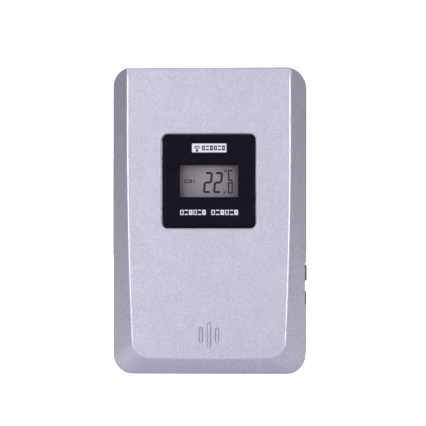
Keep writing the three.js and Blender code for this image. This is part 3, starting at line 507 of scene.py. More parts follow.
# front cover
frontSizes = {
    "wall": 2.0,
    "corner": 6.5,
    "slopeDepth": 5.5,
    "slopeTop": 4.9,  # width of the side slopes at the top
    "slopeFoot": 6.5,
    "footRise": 5.4,
    "straight": 20.0,
    "faceCorner": 5.8,
    "bow": 0.3,
    "topEdge": 1.4,
    "ridge": 0.45,
    "rim": 0.5,
    "pocketLip": 0.4,
    "levels": 22,
    "cornerSteps": 14,
    "footCuts": 9,
    "pad": {"margin": 3, "corner": 3.6},  # the thicker wall round the window pocket
    "pocketCorner": 2.1,
    "displayHole": {"size": (22, 13.6), "corner": 1},
    "bosses": {"at": [(24.5, 9), (24.5, 91)], "radius": 2.8, "bore": 1.3, "boreStart": -2.0},
    "posts": {"at": [(22.5, 41), (22.5, 77.5)], "radius": 2.2, "bore": 1.15, "boreStart": -10.7},
    "gap": 0.2,  # behind the pad and the posts
    "buttonHole": {"depth": 5.0, "clearance": 0.6, "corner": 1.5, "lip": 0.15},
    "vents": [(-2.6, 5.1), (0.1, 8.4), (2.75, 5.1)],  # x and height
    "ventWidth": 1.3,
    "ventDepth": 0.6,
    "ventLip": 0.07,
    "ventGroove": 0.32,  # each vent is a groove round a low rib
    "ventRibDrop": 0.1,
    "ventZ": 12.95,
    "baseSlots": (-6.6, 0.4),
    "recess": (31.2, 22.05, 36.2),
}
windowZ = middleOf("window_lens").z
lensSize = (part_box("window_lens")[1].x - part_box("window_lens")[0].x) / millimetre
pocketSize = lensSize + 0.3
buttonY = middleOf("channel_plunger").y
buttonCaps = {
    "channel_button": {"length": 5.2, "stand": 0.3},
    "unit_button": {"length": 4.3, "stand": 0.15},
}


def slopedBlock(name, sizes, inset, endY):
    # the front form: straight sides from endY to the rim, then slopes to the face outline
    angle = math.atan2(sizes["slopeDepth"], sizes["slopeTop"])
    shift = inset * math.tan(angle / 2)
    rimY = frontY + sizes["slopeDepth"] + inset * math.tan((math.pi / 2 - angle) / 2)
    faceY = frontY + inset
    half = sideX - inset
    radius = sizes["corner"] - inset
    halfTop, halfFoot = sideX - sizes["slopeTop"] - shift, sideX - sizes["slopeFoot"] - shift
    faceFoot, faceRadius = sizes["footRise"] + shift, sizes["faceCorner"]
    top = bodyTop - inset
    bend, cornerTop = bodyTop - sizes["straight"], faceFoot + faceRadius

    deselectAll()
    bpy.ops.mesh.primitive_plane_add(size=1, location=inMetres((0, endY, (top + inset) / 2)),
                                     rotation=(math.pi / 2, 0, 0))
    bpy.context.active_object.scale = inMetres((2 * half, top - inset, 1000))
    obj = keepPlace(name)
    startEdit(obj)
    pick(obj, lambda p: p.z < inset + 0.01)
    bpy.ops.mesh.bevel(offset=radius * millimetre, segments=sizes["cornerSteps"], affect="VERTICES")
    pick(obj, lambda p: abs(p.x) > half - 0.01, "EDGE")
    bpy.ops.mesh.subdivide(number_cuts=sizes["levels"])
    pick(obj, lambda p: p.z < inset + 0.01, "EDGE")
    bpy.ops.mesh.subdivide(number_cuts=sizes["footCuts"])
    bpy.ops.mesh.select_all(action="SELECT")
    extrudeBy(y=rimY - endY)
    extrudeBy(y=faceY - rimY)

    mesh = bmesh.from_edit_mesh(obj.data)
    faceVerts = [v.co / millimetre for v in mesh.verts if v.co.y / millimetre < faceY + 0.01]
    levels = sorted({round(p.z, 4) for p in faceVerts if abs(p.x) > half - 0.01})
    flats = sorted({round(p.x, 4) for p in faceVerts if p.z < inset + 0.01 and p.x > 0.01})
    rimTop = inset + radius
    onFace = lambda p: p.y < faceY + 0.01
    cornerX, flatEnd = half - radius, halfFoot - faceRadius

    for side in (-1, 1):  # the corners first, then the bottom, then the sides
        isCorner = lambda p: (onFace(p) and side * p.x > cornerX + 0.001
                              and inset + 0.001 < p.z < rimTop - 0.001)
        pick(obj, isCorner)
        scaleBy((faceRadius / radius, 1, faceRadius / radius), (side * cornerX, 0, rimTop))
        moveBy(side * (flatEnd - cornerX), 0, cornerTop - rimTop)
    for x in [0.0] + flats:
        pick(obj, lambda p: onFace(p) and p.z < inset + 0.01 and abs(abs(p.x) - x) < 0.002)
        share = x / cornerX
        moveBy(0, 0, faceFoot - inset - sizes["bow"] * (1 - share * share))
        scaleBy((flatEnd / cornerX, 1, 1))
    for z in levels:
        pick(obj, lambda p: onFace(p) and abs(p.x) > half - 0.01 and abs(p.z - z) < 0.002)
        raised = cornerTop + (z - rimTop) * (top - cornerTop) / (top - rimTop)
        share = max(0.0, (bend - raised) / (bend - cornerTop))
        width = halfTop + (halfFoot - halfTop) * share * share
        moveBy(0, 0, raised - z)
        scaleBy((width / half, 1, 1))
    if inset == 0:
        pick(obj, lambda p: onFace(p), "EDGE")
        dropTopEdge(obj, top)
        bpy.ops.mesh.bevel(offset=sizes["ridge"] * millimetre, segments=3, affect="EDGES")
        pick(obj, lambda p: abs(p.y - rimY) < 0.01, "EDGE")
        dropTopEdge(obj, top)
        bpy.ops.mesh.bevel(offset=sizes["rim"] * millimetre, segments=3, affect="EDGES")
    endEdit()
    faceOutwards(obj)
    return obj


def dropTopEdge(obj, top):
    # leaves the straight edge along the top out of the selection
    mesh = bmesh.from_edit_mesh(obj.data)
    for edge in mesh.edges:
        if all(v.co.z / millimetre > top - 0.01 for v in edge.verts):
            edge.select = False
    bmesh.update_edit_mesh(obj.data)


def topCornerCutters(sizes, inset):
    radius, top, half = sizes["corner"] - inset, bodyTop - inset, sideX - inset
    cutters = []
    for side in (-1, 1):
        xs = sorted((side * (half - radius), side * (half + past)))
        corner = makeBox((xs[0], frontY - past, top - radius), (xs[1], backY + past, top + past))
        rod = makeRod("Y", radius, [(frontY - past - 1, 0), (backY + past + 1, 0)],
                      (side * (half - radius), top - radius), 96)
        cutters.append(combine(corner, [rod]))
    return cutters


def topEdgeCutter(sizes):
    radius = sizes["topEdge"]
    edge = makeBox((-sideX - 1, frontY - 1, bodyTop - radius), (sideX + 1, frontY + radius, bodyTop + 1))
    rod = makeRod("X", radius, [(-sideX - 2, 0), (sideX + 2, 0)], (frontY + radius, bodyTop - radius), 64)
    return combine(edge, [rod])


def makeFrontCover(sizes):
    outer = slopedBlock("front_cover_skin", sizes, 0, partingY)
    combine(outer, topCornerCutters(sizes, 0) + [topEdgeCutter(sizes)])
    inner = slopedBlock("inner", sizes, sizes["wall"], partingY + 1)
    combine(inner, topCornerCutters(sizes, sizes["wall"]))
    trim = twinOf(outer)
    combine(outer, [inner])
    padSize = pocketSize + sizes["pad"]["margin"]
    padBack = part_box("display_frame")[0].y / millimetre - sizes["gap"]
    inside = makePlate("Y", (padSize, padSize), sizes["pad"]["corner"], [(frontY + 1, 0), (padBack, 0)],
                       (0, windowZ))
    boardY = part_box("main_board")[0].y / millimetre
    bosses, posts = sizes["bosses"], sizes["posts"]
    for side in (-1, 1):
        for kind, end in ((bosses, partingY), (posts, boardY - sizes["gap"])):
            for x, z in kind["at"]:
                rod = makeRod("Y", kind["radius"], [(frontY + 1, 0), (end, 0)], (side * x, z))
                combine(inside, [rod], "UNION")
    combine(inside, [trim], "INTERSECT")
    combine(outer, [inside], "UNION")
    cutters = [
        makePlate("Y", (pocketSize, pocketSize), sizes["pocketCorner"],
                  lipLevels(frontY, padBack - 1, sizes["pocketLip"], -1), (0, windowZ)),
        makePlate("Y", sizes["displayHole"]["size"], sizes["displayHole"]["corner"],
                  [(frontY, 0), (padBack + 1, 0)], (0, windowZ)),
        makeBox((sizes["recess"][0], frontY - 1, sizes["recess"][1]),
                (sideX + 1, partingY + 1, sizes["recess"][2])),
    ]
    width, grooveEnd, baseSlots = sizes["ventWidth"], frontY + sizes["ventDepth"], sizes["baseSlots"]
    for x, height in sizes["vents"]:
        centre = (x, sizes["ventZ"])
        groove = makePlate("Y", (width, height), width / 2 - 0.04,
                           lipLevels(frontY, grooveEnd, sizes["ventLip"], -1), centre)
        ribWidth, ribHeight = width - 2 * sizes["ventGroove"], height - 2 * sizes["ventGroove"]
        rib = makePlate("Y", (ribWidth, ribHeight), ribWidth / 2 - 0.04,
                        [(frontY + sizes["ventRibDrop"], 0), (grooveEnd + 1, 0)], centre)
        cutters.append(combine(groove, [rib]))
        cutters.append(makeBox((x - width / 2, baseSlots[0], -1),
                               (x + width / 2, baseSlots[1], sizes["wall"] + 1)))
    hole = sizes["buttonHole"]
    for node, cap in buttonCaps.items():
        levels = lipLevels(sizes["recess"][0], sideX - sizes["wall"] - 1, hole["lip"], 1)
        cutters.append(makePlate("X", (hole["depth"], cap["length"] + hole["clearance"]), hole["corner"],
                                 levels, (buttonY, middleOf(node).z)))
    for side in (-1, 1):
        for kind in (bosses, posts):
            for x, z in kind["at"]:
                cutters.append(makeRod("Y", kind["bore"], [(kind["boreStart"], 0), (partingY + 1, 0)],
                                       (side * x, z), 32))
    combine(outer, cutters)
    faceOutwards(outer)
    evenShading(outer)
    return place(outer, "housing", paint, ["front_cover"])


makeFrontCover(frontSizes)
print("front cover made")


# window: clear plate, back print, tag and caption blocks
windowSizes = {
    "corner": 1.95,
    "edge": 0.3,
    "ink": {"margin": 0.5, "corner": 1.75, "levels": (0.05, 0.08)},  # levels are behind the plate
    "printLevels": (0.02, 0.035),
    "view": (18.95, 10.4),
    "viewCorner": 0.25,
    "viewCentre": (0.05, 0.08),
    "tag": (11.2, 2.85),
    "tagX": 0.11,
    "tagRise": 10.85,
    "tagCorner": 0.15,
    "tagGlyph": {"size": (1.02, 1.6), "stroke": 0.38, "first": -1.75, "pitch": 1.3, "count": 6},
    "captionDrop": 10.1,
    "captionHeight": 1.66,
    "captionStroke": 0.27,
    "captionShare": 0.78,  # of the pitch
    "captionRuns": [(-9.5, -0.85, 6), (0.65, 9.65, 6)],
    "fan": {"radii": (0.25, 0.8, 1.4), "x": -3.85, "drop": 0.85, "halfStroke": 0.17},
}


def makeGlyph(index, size, stroke, levels, centre):
    # a blank block in place of a printed character: by turns an open square, two bars and a pierced block
    width, height = size
    cut = [(levels[0][0] - 1, 0), (levels[1][0] + 1, 0)]
    outerCorner, innerCorner = 0.12, 0.06
    block = makePlate("Y", size, outerCorner, levels, centre, 3, "glyph")
    openings = [(width - 2 * stroke, height - 2 * stroke), (width + 1, height - 2.6 * stroke),
                (width * 0.3, height * 0.35)]
    return combine(block, [makePlate("Y", openings[index % 3], innerCorner, cut, centre, 2)])


def makeFan(fan, centre, back):
    # the wave mark: a dot and two arcs, kept above their centre by a square on its corner
    pieces = []
    for radius in fan["radii"]:
        ring = makeRod("Y", radius + fan["halfStroke"], [(back - 1, 0), (back + 1, 0)], centre, 48)
        if radius > fan["radii"][0]:
            hollow = makeRod("Y", radius - fan["halfStroke"], [(back - 2, 0), (back + 2, 0)], centre, 48)
            sector = makeRod("Y", 3, [(back - 3, 0), (back + 3, 0)], (centre[0], centre[1] + 3), 4)
            combine(ring, [hollow])
            combine(ring, [sector], "INTERSECT")
        pieces.append(ring)
    return pieces


def makeWindow(sizes):
    lensLow, lensHigh = [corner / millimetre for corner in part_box("window_lens")]
    lens = makePlate("Y", (lensSize, lensSize), sizes["corner"], [(lensLow.y, 0), (lensHigh.y, 0)],
                     (0, windowZ), 10, "window_plate")
    roundEdges(lens, sizes["edge"], steps=3)
    evenShading(lens)
    place(lens, "housing", acrylic, ["window_lens"])

    back = lensHigh.y
    through = [(back - 1, 0), (back + 1, 0)]
    inkSize = lensSize - sizes["ink"]["margin"]
    inkLevels = [(back + level, 0) for level in sizes["ink"]["levels"]]
    ink = makePlate("Y", (inkSize, inkSize), sizes["ink"]["corner"], inkLevels, (0, windowZ), 8, "window_print")
    viewX, viewRise = sizes["viewCentre"]
    combine(ink, [makePlate("Y", sizes["view"], sizes["viewCorner"], through, (viewX, windowZ + viewRise), 3)])
    place(ink, "housing", blackInk)

    printLevels = [(back + level, 0) for level in sizes["printLevels"]]
    tagZ = windowZ + sizes["tagRise"]
    tag = makePlate("Y", sizes["tag"], sizes["tagCorner"], printLevels, (sizes["tagX"], tagZ), 3, "window_tag")
    glyph = sizes["tagGlyph"]
    marks = [makeGlyph(index, glyph["size"], glyph["stroke"], through,
                       (glyph["first"] + glyph["pitch"] * index, tagZ)) for index in range(glyph["count"])]
    fan = sizes["fan"]
    combine(tag, marks + makeFan(fan, (fan["x"], tagZ - fan["drop"]), back))
    place(tag, "housing", whiteInk)

    captionZ = windowZ - sizes["captionDrop"]
    glyphs = []
    for start, end, count in sizes["captionRuns"]:
        pitch = (end - start) / count
        for index in range(count):
            x = start + pitch * (index + 0.5)
            glyphs.append(makeGlyph(index, (pitch * sizes["captionShare"], sizes["captionHeight"]),
                                    sizes["captionStroke"], printLevels, (x, captionZ)))
    place(joinAll(glyphs, "window_caption"), "housing", whiteInk)


makeWindow(windowSizes)
print("window made")


# display digits
digitSizes = {
    "stroke": 0.75,
    "gap": 0.07,
    "slant": 0.1,
    "thickness": 0.02,
    "big": (2.75, 6.95),
    "rows": [("2", -0.4, 62.6), ("2", 2.9, 62.6)],  # digit, x, z
    "loops": [  # size, x, z, open on the right
        ((1.7, 3.8), 6.9, 60.85, False),
        ((1.55, 3.6), 6.9, 64.95, True),
    ],
    "loopStroke": 0.46,
    "loopCorners": (0.3, 0.1),
    "point": {"radius": 0.32, "at": (5.05, 59.45)},
    "degree": {"radii": (0.45, 0.2), "at": (5.35, 66.45)},
    "channel": {"size": (0.5, 1.5), "x": -5.0, "stroke": 0.3},
    "label": {"glyphs": [(-7.7, 0), (-6.85, 1), (-6.0, 2)], "size": (0.7, 1.15), "stroke": 0.24, "z": 63.0},
}
segmentsOn = {"2": "abged", "1": "bc"}


def makeSegment(length, stroke, y, thickness):
    # a flat bar with pointed ends, lying along X
    deselectAll()
    bpy.ops.mesh.primitive_circle_add(vertices=6, radius=stroke / math.sqrt(3) * millimetre, fill_type="NGON",
                                      rotation=(math.pi / 2, math.pi / 6, 0))
    obj = keepPlace("segment")
    startEdit(obj)
    for side in (-1, 1):
        pick(obj, lambda p: side * p.x > 0.001)
        moveBy(x=side * (length - stroke) / 2)
    bpy.ops.mesh.select_all(action="SELECT")
    moveBy(y=y - thickness)
    extrudeBy(y=thickness)
    endEdit()
    faceOutwards(obj)
    return obj


def makeDigit(digit, size, x, z, sizes, y, stroke):
    width, height = size[0] - stroke, size[1] - stroke
    flat = {"a": (0, height / 2), "g": (0, 0), "d": (0, -height / 2)}
    upright = {"f": (-width / 2, height / 4), "b": (width / 2, height / 4), "e": (-width / 2, -height / 4),
               "c": (width / 2, -height / 4)}
    pieces = []
    for name in segmentsOn[digit]:
        isFlat = name in flat
        length = (width if isFlat else height / 2) - sizes["gap"]
        obj = makeSegment(length, stroke, y, sizes["thickness"])
        shift = flat[name] if isFlat else upright[name]
        turn = Matrix.Identity(4) if isFlat else Matrix.Rotation(math.pi / 2, 4, "Y")
        obj.data.transform(Matrix.Translation(inMetres((shift[0], 0, shift[1]))) @ turn)
        pieces.append(obj)
    digitObj = joinAll(pieces, "digit")
    lean = Matrix.Identity(4)
    lean[0][2] = sizes["slant"]
    digitObj.data.transform(Matrix.Translation(inMetres((x, 0, z))) @ lean)
    return digitObj


def makeDisplayMarks(sizes):
    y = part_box("display_panel")[0].y / millimetre - 0.01
    sheet, through = [(y - sizes["thickness"], 0), (y, 0)], [(y - 1, 0), (y + 1, 0)]
    pieces = [makeDigit(digit, sizes["big"], x, z, sizes, y, sizes["stroke"]) for digit, x, z in sizes["rows"]]
    stroke, (outerCorner, innerCorner) = sizes["loopStroke"], sizes["loopCorners"]
    for (width, height), x, z, isOpen in sizes["loops"]:
        loop = makePlate("Y", (width, height), outerCorner, sheet, (x, z), 3)
        shift = stroke if isOpen else 0
        hole = makePlate("Y", (width - 2 * stroke + shift, height - 2 * stroke), innerCorner, through,
                         (x + shift / 2 + 0.01, z), 3)
        pieces.append(combine(loop, [hole]))
    point, degree, channel, label = sizes["point"], sizes["degree"], sizes["channel"], sizes["label"]
    ring = makeRod("Y", degree["radii"][0], sheet, degree["at"], 24)
    pieces += [makeRod("Y", point["radius"], sheet, point["at"], 16),
               combine(ring, [makeRod("Y", degree["radii"][1], through, degree["at"], 24)]),
               makeDigit("1", channel["size"], channel["x"], label["z"], sizes, y, channel["stroke"])]
    pieces += [makeGlyph(kind, label["size"], label["stroke"], sheet, (x, label["z"]))
               for x, kind in label["glyphs"]]
    place(joinAll(pieces, "display_digits"), "housing", segmentInk)


makeDisplayMarks(digitSizes)
print("display made")


# rear cover
rearSizes = {
    "wall": 2.0,
    "corner": 6.5,
    "edge": 1.5,
    "lip": 0.2,  # rounding where an opening meets the back
    "gap": 0.3,  # to the front cover
    "rim": {"height": 1.6, "inset": 2.2, "wall": 0.9, "root": 1.2},  # the tongue that enters the front cover
    "screws": [(24.5, 9), (24.5, 91)],
    "tower": {"radius": 3.2, "bore": 1.3, "headHole": 2.2, "seat": 7.8},
    "tray": {"half": 25.4, "middle": 49.8, "height": 22.8, "floor": 0.7, "wall": 1.2, "corner": 0.4},
    "tabSlots": {"rise": 5.65, "half": 1.5, "below": 3, "above": 1, "outwards": 0.1, "inwards": 0.9},
    "doorway": {"size": (53.6, 25.6), "corner": 1.2, "ledge": 11.5, "border": 1.4, "axis": (12.4, 38.3),
                "groove": 1.3, "socket": 0.85, "reach": 28.0},
    "latch": {"half": 4.3, "front": 8.5, "bottom": 60.7},
    "scoop": {"half": 6.0, "radius": 2.0, "out": 0.8},
    "keyhole": {"z": 86.0, "radius": 4.3, "slot": 5.0, "rise": 6.0, "wall": 1.2,
                "pocket": ((-7, 6.3, 79), (7, 11.5, 95.5))},
    "foot": {"half": 15.3, "front": 11.2, "axis": (12.0, 1.7), "top": 30.0, "radius": 1.5, "socket": 0.9,
             "reach": 16.7, "play": 0.3, "barrelFront": 9.3, "barrelTop": 4.4, "heelFront": 10.5, "heelTop": 3.2},
    "notch": {"width": 12.0, "top": 32.6, "middle": 28, "corner": 0.8},
    "sideRecess": (31.2, 22.05, 36.2),
}


def bodyPlate(inset, start, end, name="block"):
    return makePlate("Y", (2 * (sideX - inset), bodyTop - 2 * inset), rearSizes["corner"] - inset,
                     [(start, 0), (end, 0)], (0, bodyTop / 2), 14, name)


def rearAdditions(sizes, startY, shape):
    pieces = [makeRod("Y", sizes["tower"]["radius"], [(startY, 0), (backY - 1, 0)], (side * x, z))
              for side in (-1, 1) for x, z in sizes["screws"]]
    rim = sizes["rim"]
    tongue = bodyPlate(rim["inset"] - rim["root"], startY, startY + rim["height"])
    combine(tongue, [bodyPlate(rim["inset"], partingY - rim["height"], startY + 0.1)], "UNION")
    combine(tongue, [bodyPlate(rim["inset"] + rim["wall"], partingY - 3, startY + 4)])
    tray, wall = sizes["tray"], sizes["tray"]["wall"]
    halfX, halfZ = tray["half"] + wall, tray["height"] / 2 + wall
    pieces += [tongue, makeBox((-halfX, tray["floor"] - wall, tray["middle"] - halfZ),
                               (halfX, backY - 1, tray["middle"] + halfZ))]
    door = sizes["doorway"]
    halfX, halfZ = [side / 2 + door["border"] for side in door["size"]]
    pieces.append(makeBox((-halfX, door["ledge"] - wall, tray["middle"] - halfZ),
                          (halfX, backY - 1, tray["middle"] + halfZ)))
    keyhole = sizes["keyhole"]
    lowest, highest = keyhole["pocket"]
    pieces.append(makeBox([v - keyhole["wall"] for v in lowest],
                          (highest[0] + keyhole["wall"], backY - 1, highest[2] + keyhole["wall"])))
    foot = sizes["foot"]
    half = foot["reach"] + foot["play"] + wall
    backing = (foot["front"] - wall, sizes["notch"]["top"] + wall)
    for front, top in (backing, (foot["barrelFront"], foot["barrelTop"])):
        block = makeBox((-half, front, 0), (half, backY + 1, top))
        pieces.append(combine(block, [twinOf(shape)], "INTERSECT"))
    return pieces


def rearCutters(sizes, startY):
    outside = backY + 1
    intoBack = lambda end: lipLevels(backY, end, sizes["lip"], 1)
    tower, tray, slots = sizes["tower"], sizes["tray"], sizes["tabSlots"]
    door, latch, scoop = sizes["doorway"], sizes["latch"], sizes["scoop"]
    keyhole, foot, notch, recess = sizes["keyhole"], sizes["foot"], sizes["notch"], sizes["sideRecess"]
    middle, trayHalf, axisZ = tray["middle"], tray["half"], foot["axis"][1]
    width, height = door["size"]
    doorTop = middle + height / 2
    keyholeTop, keyholeEnd = keyhole["z"] + keyhole["rise"], backY - sizes["wall"] - 1

    cutters = []
    for side in (-1, 1):
        for x, z in sizes["screws"]:
            cutters += [makeRod("Y", tower["bore"], [(startY - 1, 0), (outside, 0)], (side * x, z), 32),
                        makeRod("Y", tower["headHole"], intoBack(tower["seat"]), (side * x, z))]
    cutters.append(makePlate("Y", (2 * trayHalf, tray["height"]), tray["corner"],
                             [(tray["floor"], 0), (outside, 0)], (0, middle), 4))
    for side in (-1, 1):
        z, half, floor = middle + side * slots["rise"], slots["half"], tray["floor"]
        cutters.append(makeBox((-trayHalf - slots["outwards"], floor - slots["below"], z - half),
                               (-trayHalf + slots["inwards"], floor + slots["above"], z + half)))
    cutters += [
        makePlate("Y", (width, height), door["corner"], intoBack(door["ledge"]), (0, middle)),
        makeBox((-width / 2, door["ledge"], middle - height / 2), (width / 2, outside, middle)),
        makeRod("X", door["groove"], [(-width / 2, 0), (width / 2, 0)], door["axis"]),
        makeRod("X", door["socket"], [(-door["reach"], 0), (door["reach"], 0)], door["axis"], 24),
        makeBox((-latch["half"], latch["front"], latch["bottom"]), (latch["half"], backY, doorTop)),
        makeRod("X", scoop["radius"], [(-scoop["half"], 0), (scoop["half"], 0)],
                (backY + scoop["out"], doorTop), 64),
        makeBox(*keyhole["pocket"]),
        makeRod("Y", keyhole["radius"], intoBack(keyholeEnd), (0, keyhole["z"]), 64),
        makePlate("Y", (keyhole["slot"], keyhole["rise"] + keyhole["slot"]), keyhole["slot"] / 2 - 0.02,
                  intoBack(keyholeEnd), (0, keyholeTop - keyhole["rise"] / 2), 16),
        makePlate("Y", (2 * foot["half"], 2 * (foot["top"] - axisZ)), foot["radius"], intoBack(foot["front"]),
                  (0, axisZ)),
        makeBox((-foot["half"], foot["heelFront"], -1), (foot["half"], outside, foot["heelTop"])),
        makeRod("X", foot["socket"], [(-foot["reach"], 0), (foot["reach"], 0)], foot["axis"], 24),
        makePlate("Y", (notch["width"], 2 * (notch["top"] - notch["middle"])), notch["corner"],
                  intoBack(foot["front"]), (0, notch["middle"])),
        makeBox((recess[0], frontY, recess[1]), (sideX + 1, outside, recess[2])),
    ]
    return cutters


def makeRearCover(sizes):
    startY = partingY + sizes["gap"]
    outer = bodyPlate(0, startY - 4, backY, "rear_cover_skin")
    roundEdges(outer, sizes["edge"], 60, 6)
    combine(outer, [makeBox((-sideX - 1, startY - 6, -1), (sideX + 1, startY, bodyTop + 1))])
    shape = twinOf(outer)
    combine(outer, [bodyPlate(sizes["wall"], startY - 1, backY - sizes["wall"])])
    combine(outer, rearAdditions(sizes, startY, shape), "UNION")
    bpy.data.objects.remove(shape)
    combine(outer, rearCutters(sizes, startY))
    faceOutwards(outer)
    evenShading(outer)
    place(outer, "housing", paint, ["rear_cover"])


makeRearCover(rearSizes)
print("rear cover made")


def makePin(radius, end, axis, taper=0.12, sides=24):
    # a rod along X with chamfered ends
    levels = [(-end, -taper), (-end + taper, 0), (end - taper, 0), (end, -taper)]
    return makeRod("X", radius, levels, axis, sides)


def gripCutters(grip, surface):
    # a row of finger grooves, from the top one down
    return [makePlate("Y", grip["size"], grip["size"][1] / 2 - 0.04,
                      lipLevels(surface, surface - grip["depth"], grip["lip"], 1),
                      (0, grip["first"] - grip["pitch"] * index), 6) for index in range(grip["count"])]


# battery door
doorSizes = {
    "half": 26.5,
    "inner": 11.8,
    "axis": (12.4, 38.3),
    "top": 62.3,
    "corner": 0.9,
    "edge": 0.25,
    "barrel": 1.0,
    "pin": (0.55, 27.7),  # radius and half length
    "latch": ((-4, 8.8, 61.0), (4, 12.2, 62.0)),
    "latchEdge": 0.15,
    "nib": {"half": 4, "radius": 0.5, "at": (9.4, 61.8)},
    "grip": {"size": (12, 0.8), "first": 59.7, "pitch": 1.6, "depth": 0.4, "lip": 0.12, "count": 3},
    "arrow": {"radius": 2.1, "z": 52.9, "depth": 0.3, "lip": 0.1, "stretch": -0.75},  # turned to point down
    "hollow": {"size": (46, 18), "corner": 1.5, "depth": 0.5, "z": 49.8},
}


def makeBatteryDoor(sizes):
    y, z = sizes["axis"]
    height = sizes["top"] - z
    door = makePlate("Y", (2 * sizes["half"], 2 * height), sizes["corner"], [(sizes["inner"], 0), (backY, 0)],
                     (0, z), 6, "battery_door_panel")
    roundEdges(door, sizes["edge"], 60, 3)
    combine(door, [makeBox((-sideX, frontY, z - 2 * height), (sideX, backY + 1, z))])
    latch, nib, arrow, hollow = makeBox(*sizes["latch"]), sizes["nib"], sizes["arrow"], sizes["hollow"]
    roundEdges(latch, sizes["latchEdge"])
    combine(door, [
        makeRod("X", sizes["barrel"], [(-sizes["half"], 0), (sizes["half"], 0)], (y, z)),
        makePin(*sizes["pin"], (y, z)),
        latch,
        makeRod("X", nib["radius"], [(-nib["half"], 0), (nib["half"], 0)], nib["at"], 24),
    ], "UNION")
    cutters = gripCutters(sizes["grip"], backY)
    mark = makeRod("Y", arrow["radius"], lipLevels(backY, backY - arrow["depth"], arrow["lip"], 1),
                   (0, arrow["z"]), 3)
    startEdit(mark)
    bpy.ops.mesh.select_all(action="SELECT")
    scaleBy((1, 1, arrow["stretch"]), (0, 0, arrow["z"]))
    endEdit()
    faceOutwards(mark)
    hollowLevels = [(sizes["inner"] - 1, 0), (sizes["inner"] + hollow["depth"], 0)]
    cutters += [mark, makePlate("Y", hollow["size"], hollow["corner"], hollowLevels, (0, hollow["z"]))]
    combine(door, cutters)
    faceOutwards(door)
    evenShading(door)
    place(door, "battery_door", paint, ["battery_door"])


makeBatteryDoor(doorSizes)
print("battery door made")


# fold-out foot
footSizes = {
    "half": 15.0,
    "leaf": (11.5, 13.4),
    "axis": (12.0, 1.7),
    "length": 28.0,
    "corner": 3.0,
    "edge": 0.3,
    "barrel": 1.2,
    "pin": (0.6, 16.4),  # radius and half length
    "pockets": {"size": (6.4, 16.0), "corner": 1.2, "pitch": 7.8, "z": 16.7, "depth": 0.8, "lip": 0.15},
    "grip": {"size": (10, 0.8), "first": 26.6, "pitch": 1.6, "depth": 0.35, "lip": 0.12, "count": 2},
}


def makeStandFoot(sizes):
    y, z = sizes["axis"]
    front, back = sizes["leaf"]
    foot = makePlate("Y", (2 * sizes["half"], 2 * sizes["length"]), sizes["corner"], [(front, 0), (back, 0)],
                     (0, z), 12, "stand_foot_leaf")
    roundEdges(foot, sizes["edge"], 60, 3)
    combine(foot, [makeBox((-sideX, frontY, z - 3 * sizes["length"]), (sideX, backY + 1, z))])
    barrel = makePin(sizes["barrel"], sizes["half"], (y, z), 0.15, 48)
    combine(foot, [barrel, makePin(*sizes["pin"], (y, z))], "UNION")
    pockets = sizes["pockets"]
    cutters = [makePlate("Y", pockets["size"], pockets["corner"],
                         lipLevels(front, front + pockets["depth"], pockets["lip"], -1),
                         (step * pockets["pitch"], pockets["z"])) for step in (-1, 0, 1)]
    cutters += gripCutters(sizes["grip"], back)
    combine(foot, cutters)
    faceOutwards(foot)
    evenShading(foot)
    place(foot, "stand_foot", paint, ["stand_foot"])


makeStandFoot(footSizes)
print("foot made")


# side buttons
capSizes = {
    "depth": 4.4,
    "radius": 1.2,
    "round": 0.35,
    "flange": (28.4, 29.2, 1.0),  # start, end, how far it stands past the cap
    "pusher": {"radius": 1.2, "tip": 27.2, "taper": 0.15, "lap": 0.1},
    "dish": (9.0, 0.18),  # radius of the ball, and how deep it dips
    "roundSteps": 4,
}


def makeSideButton(name, cap, sizes):
    z = middleOf(name).z
    start, flangeEnd, overhang = sizes["flange"]
    outer, curve = sideX + cap["stand"], sizes["round"]
    levels = [(start, 0)]
    for step in range(sizes["roundSteps"] + 1):
        angle = step / sizes["roundSteps"] * math.pi / 2
        levels.append((outer - curve * (1 - math.sin(angle)), -curve * (1 - math.cos(angle))))
    button = makePlate("X", (sizes["depth"], cap["length"]), sizes["radius"], levels, (buttonY, z), 8,
                       name + "_cap")
    pusher = sizes["pusher"]
    tip, taper = pusher["tip"], pusher["taper"]
    combine(button, [
        makePlate("X", (sizes["depth"] + 2 * overhang, cap["length"] + 2 * overhang), sizes["radius"],
                  [(start, 0), (flangeEnd, 0)], (buttonY, z)),
        makeRod("X", pusher["radius"], [(tip, -taper), (tip + taper, 0), (start + pusher["lap"], 0)],
                (buttonY, z)),
    ], "UNION")
    deselectAll()
    ballRadius, dip = sizes["dish"]
    bpy.ops.mesh.primitive_uv_sphere_add(segments=96, ring_count=48, radius=ballRadius * millimetre,
                                         location=inMetres((outer + ballRadius - dip, buttonY, z)))
    combine(button, [keepPlace("dish")])
    faceOutwards(button)
    evenShading(button)
    place(button, name, buttonGrey, [name])


for name, cap in buttonCaps.items():
    makeSideButton(name, cap, capSizes)
print("side buttons made")


# screws
screwSizes = {
    "case_screw": {"shank": 1.0, "head": 1.9, "height": 1.4, "length": 9.5, "pitch": 0.8},
    "board_screw": {"shank": 0.85, "head": 1.6, "height": 1.0, "length": 6.0, "pitch": 0.6},
}
threadDepth = 0.18
crossHalf = 0.22  # half the width of the recess for the driver


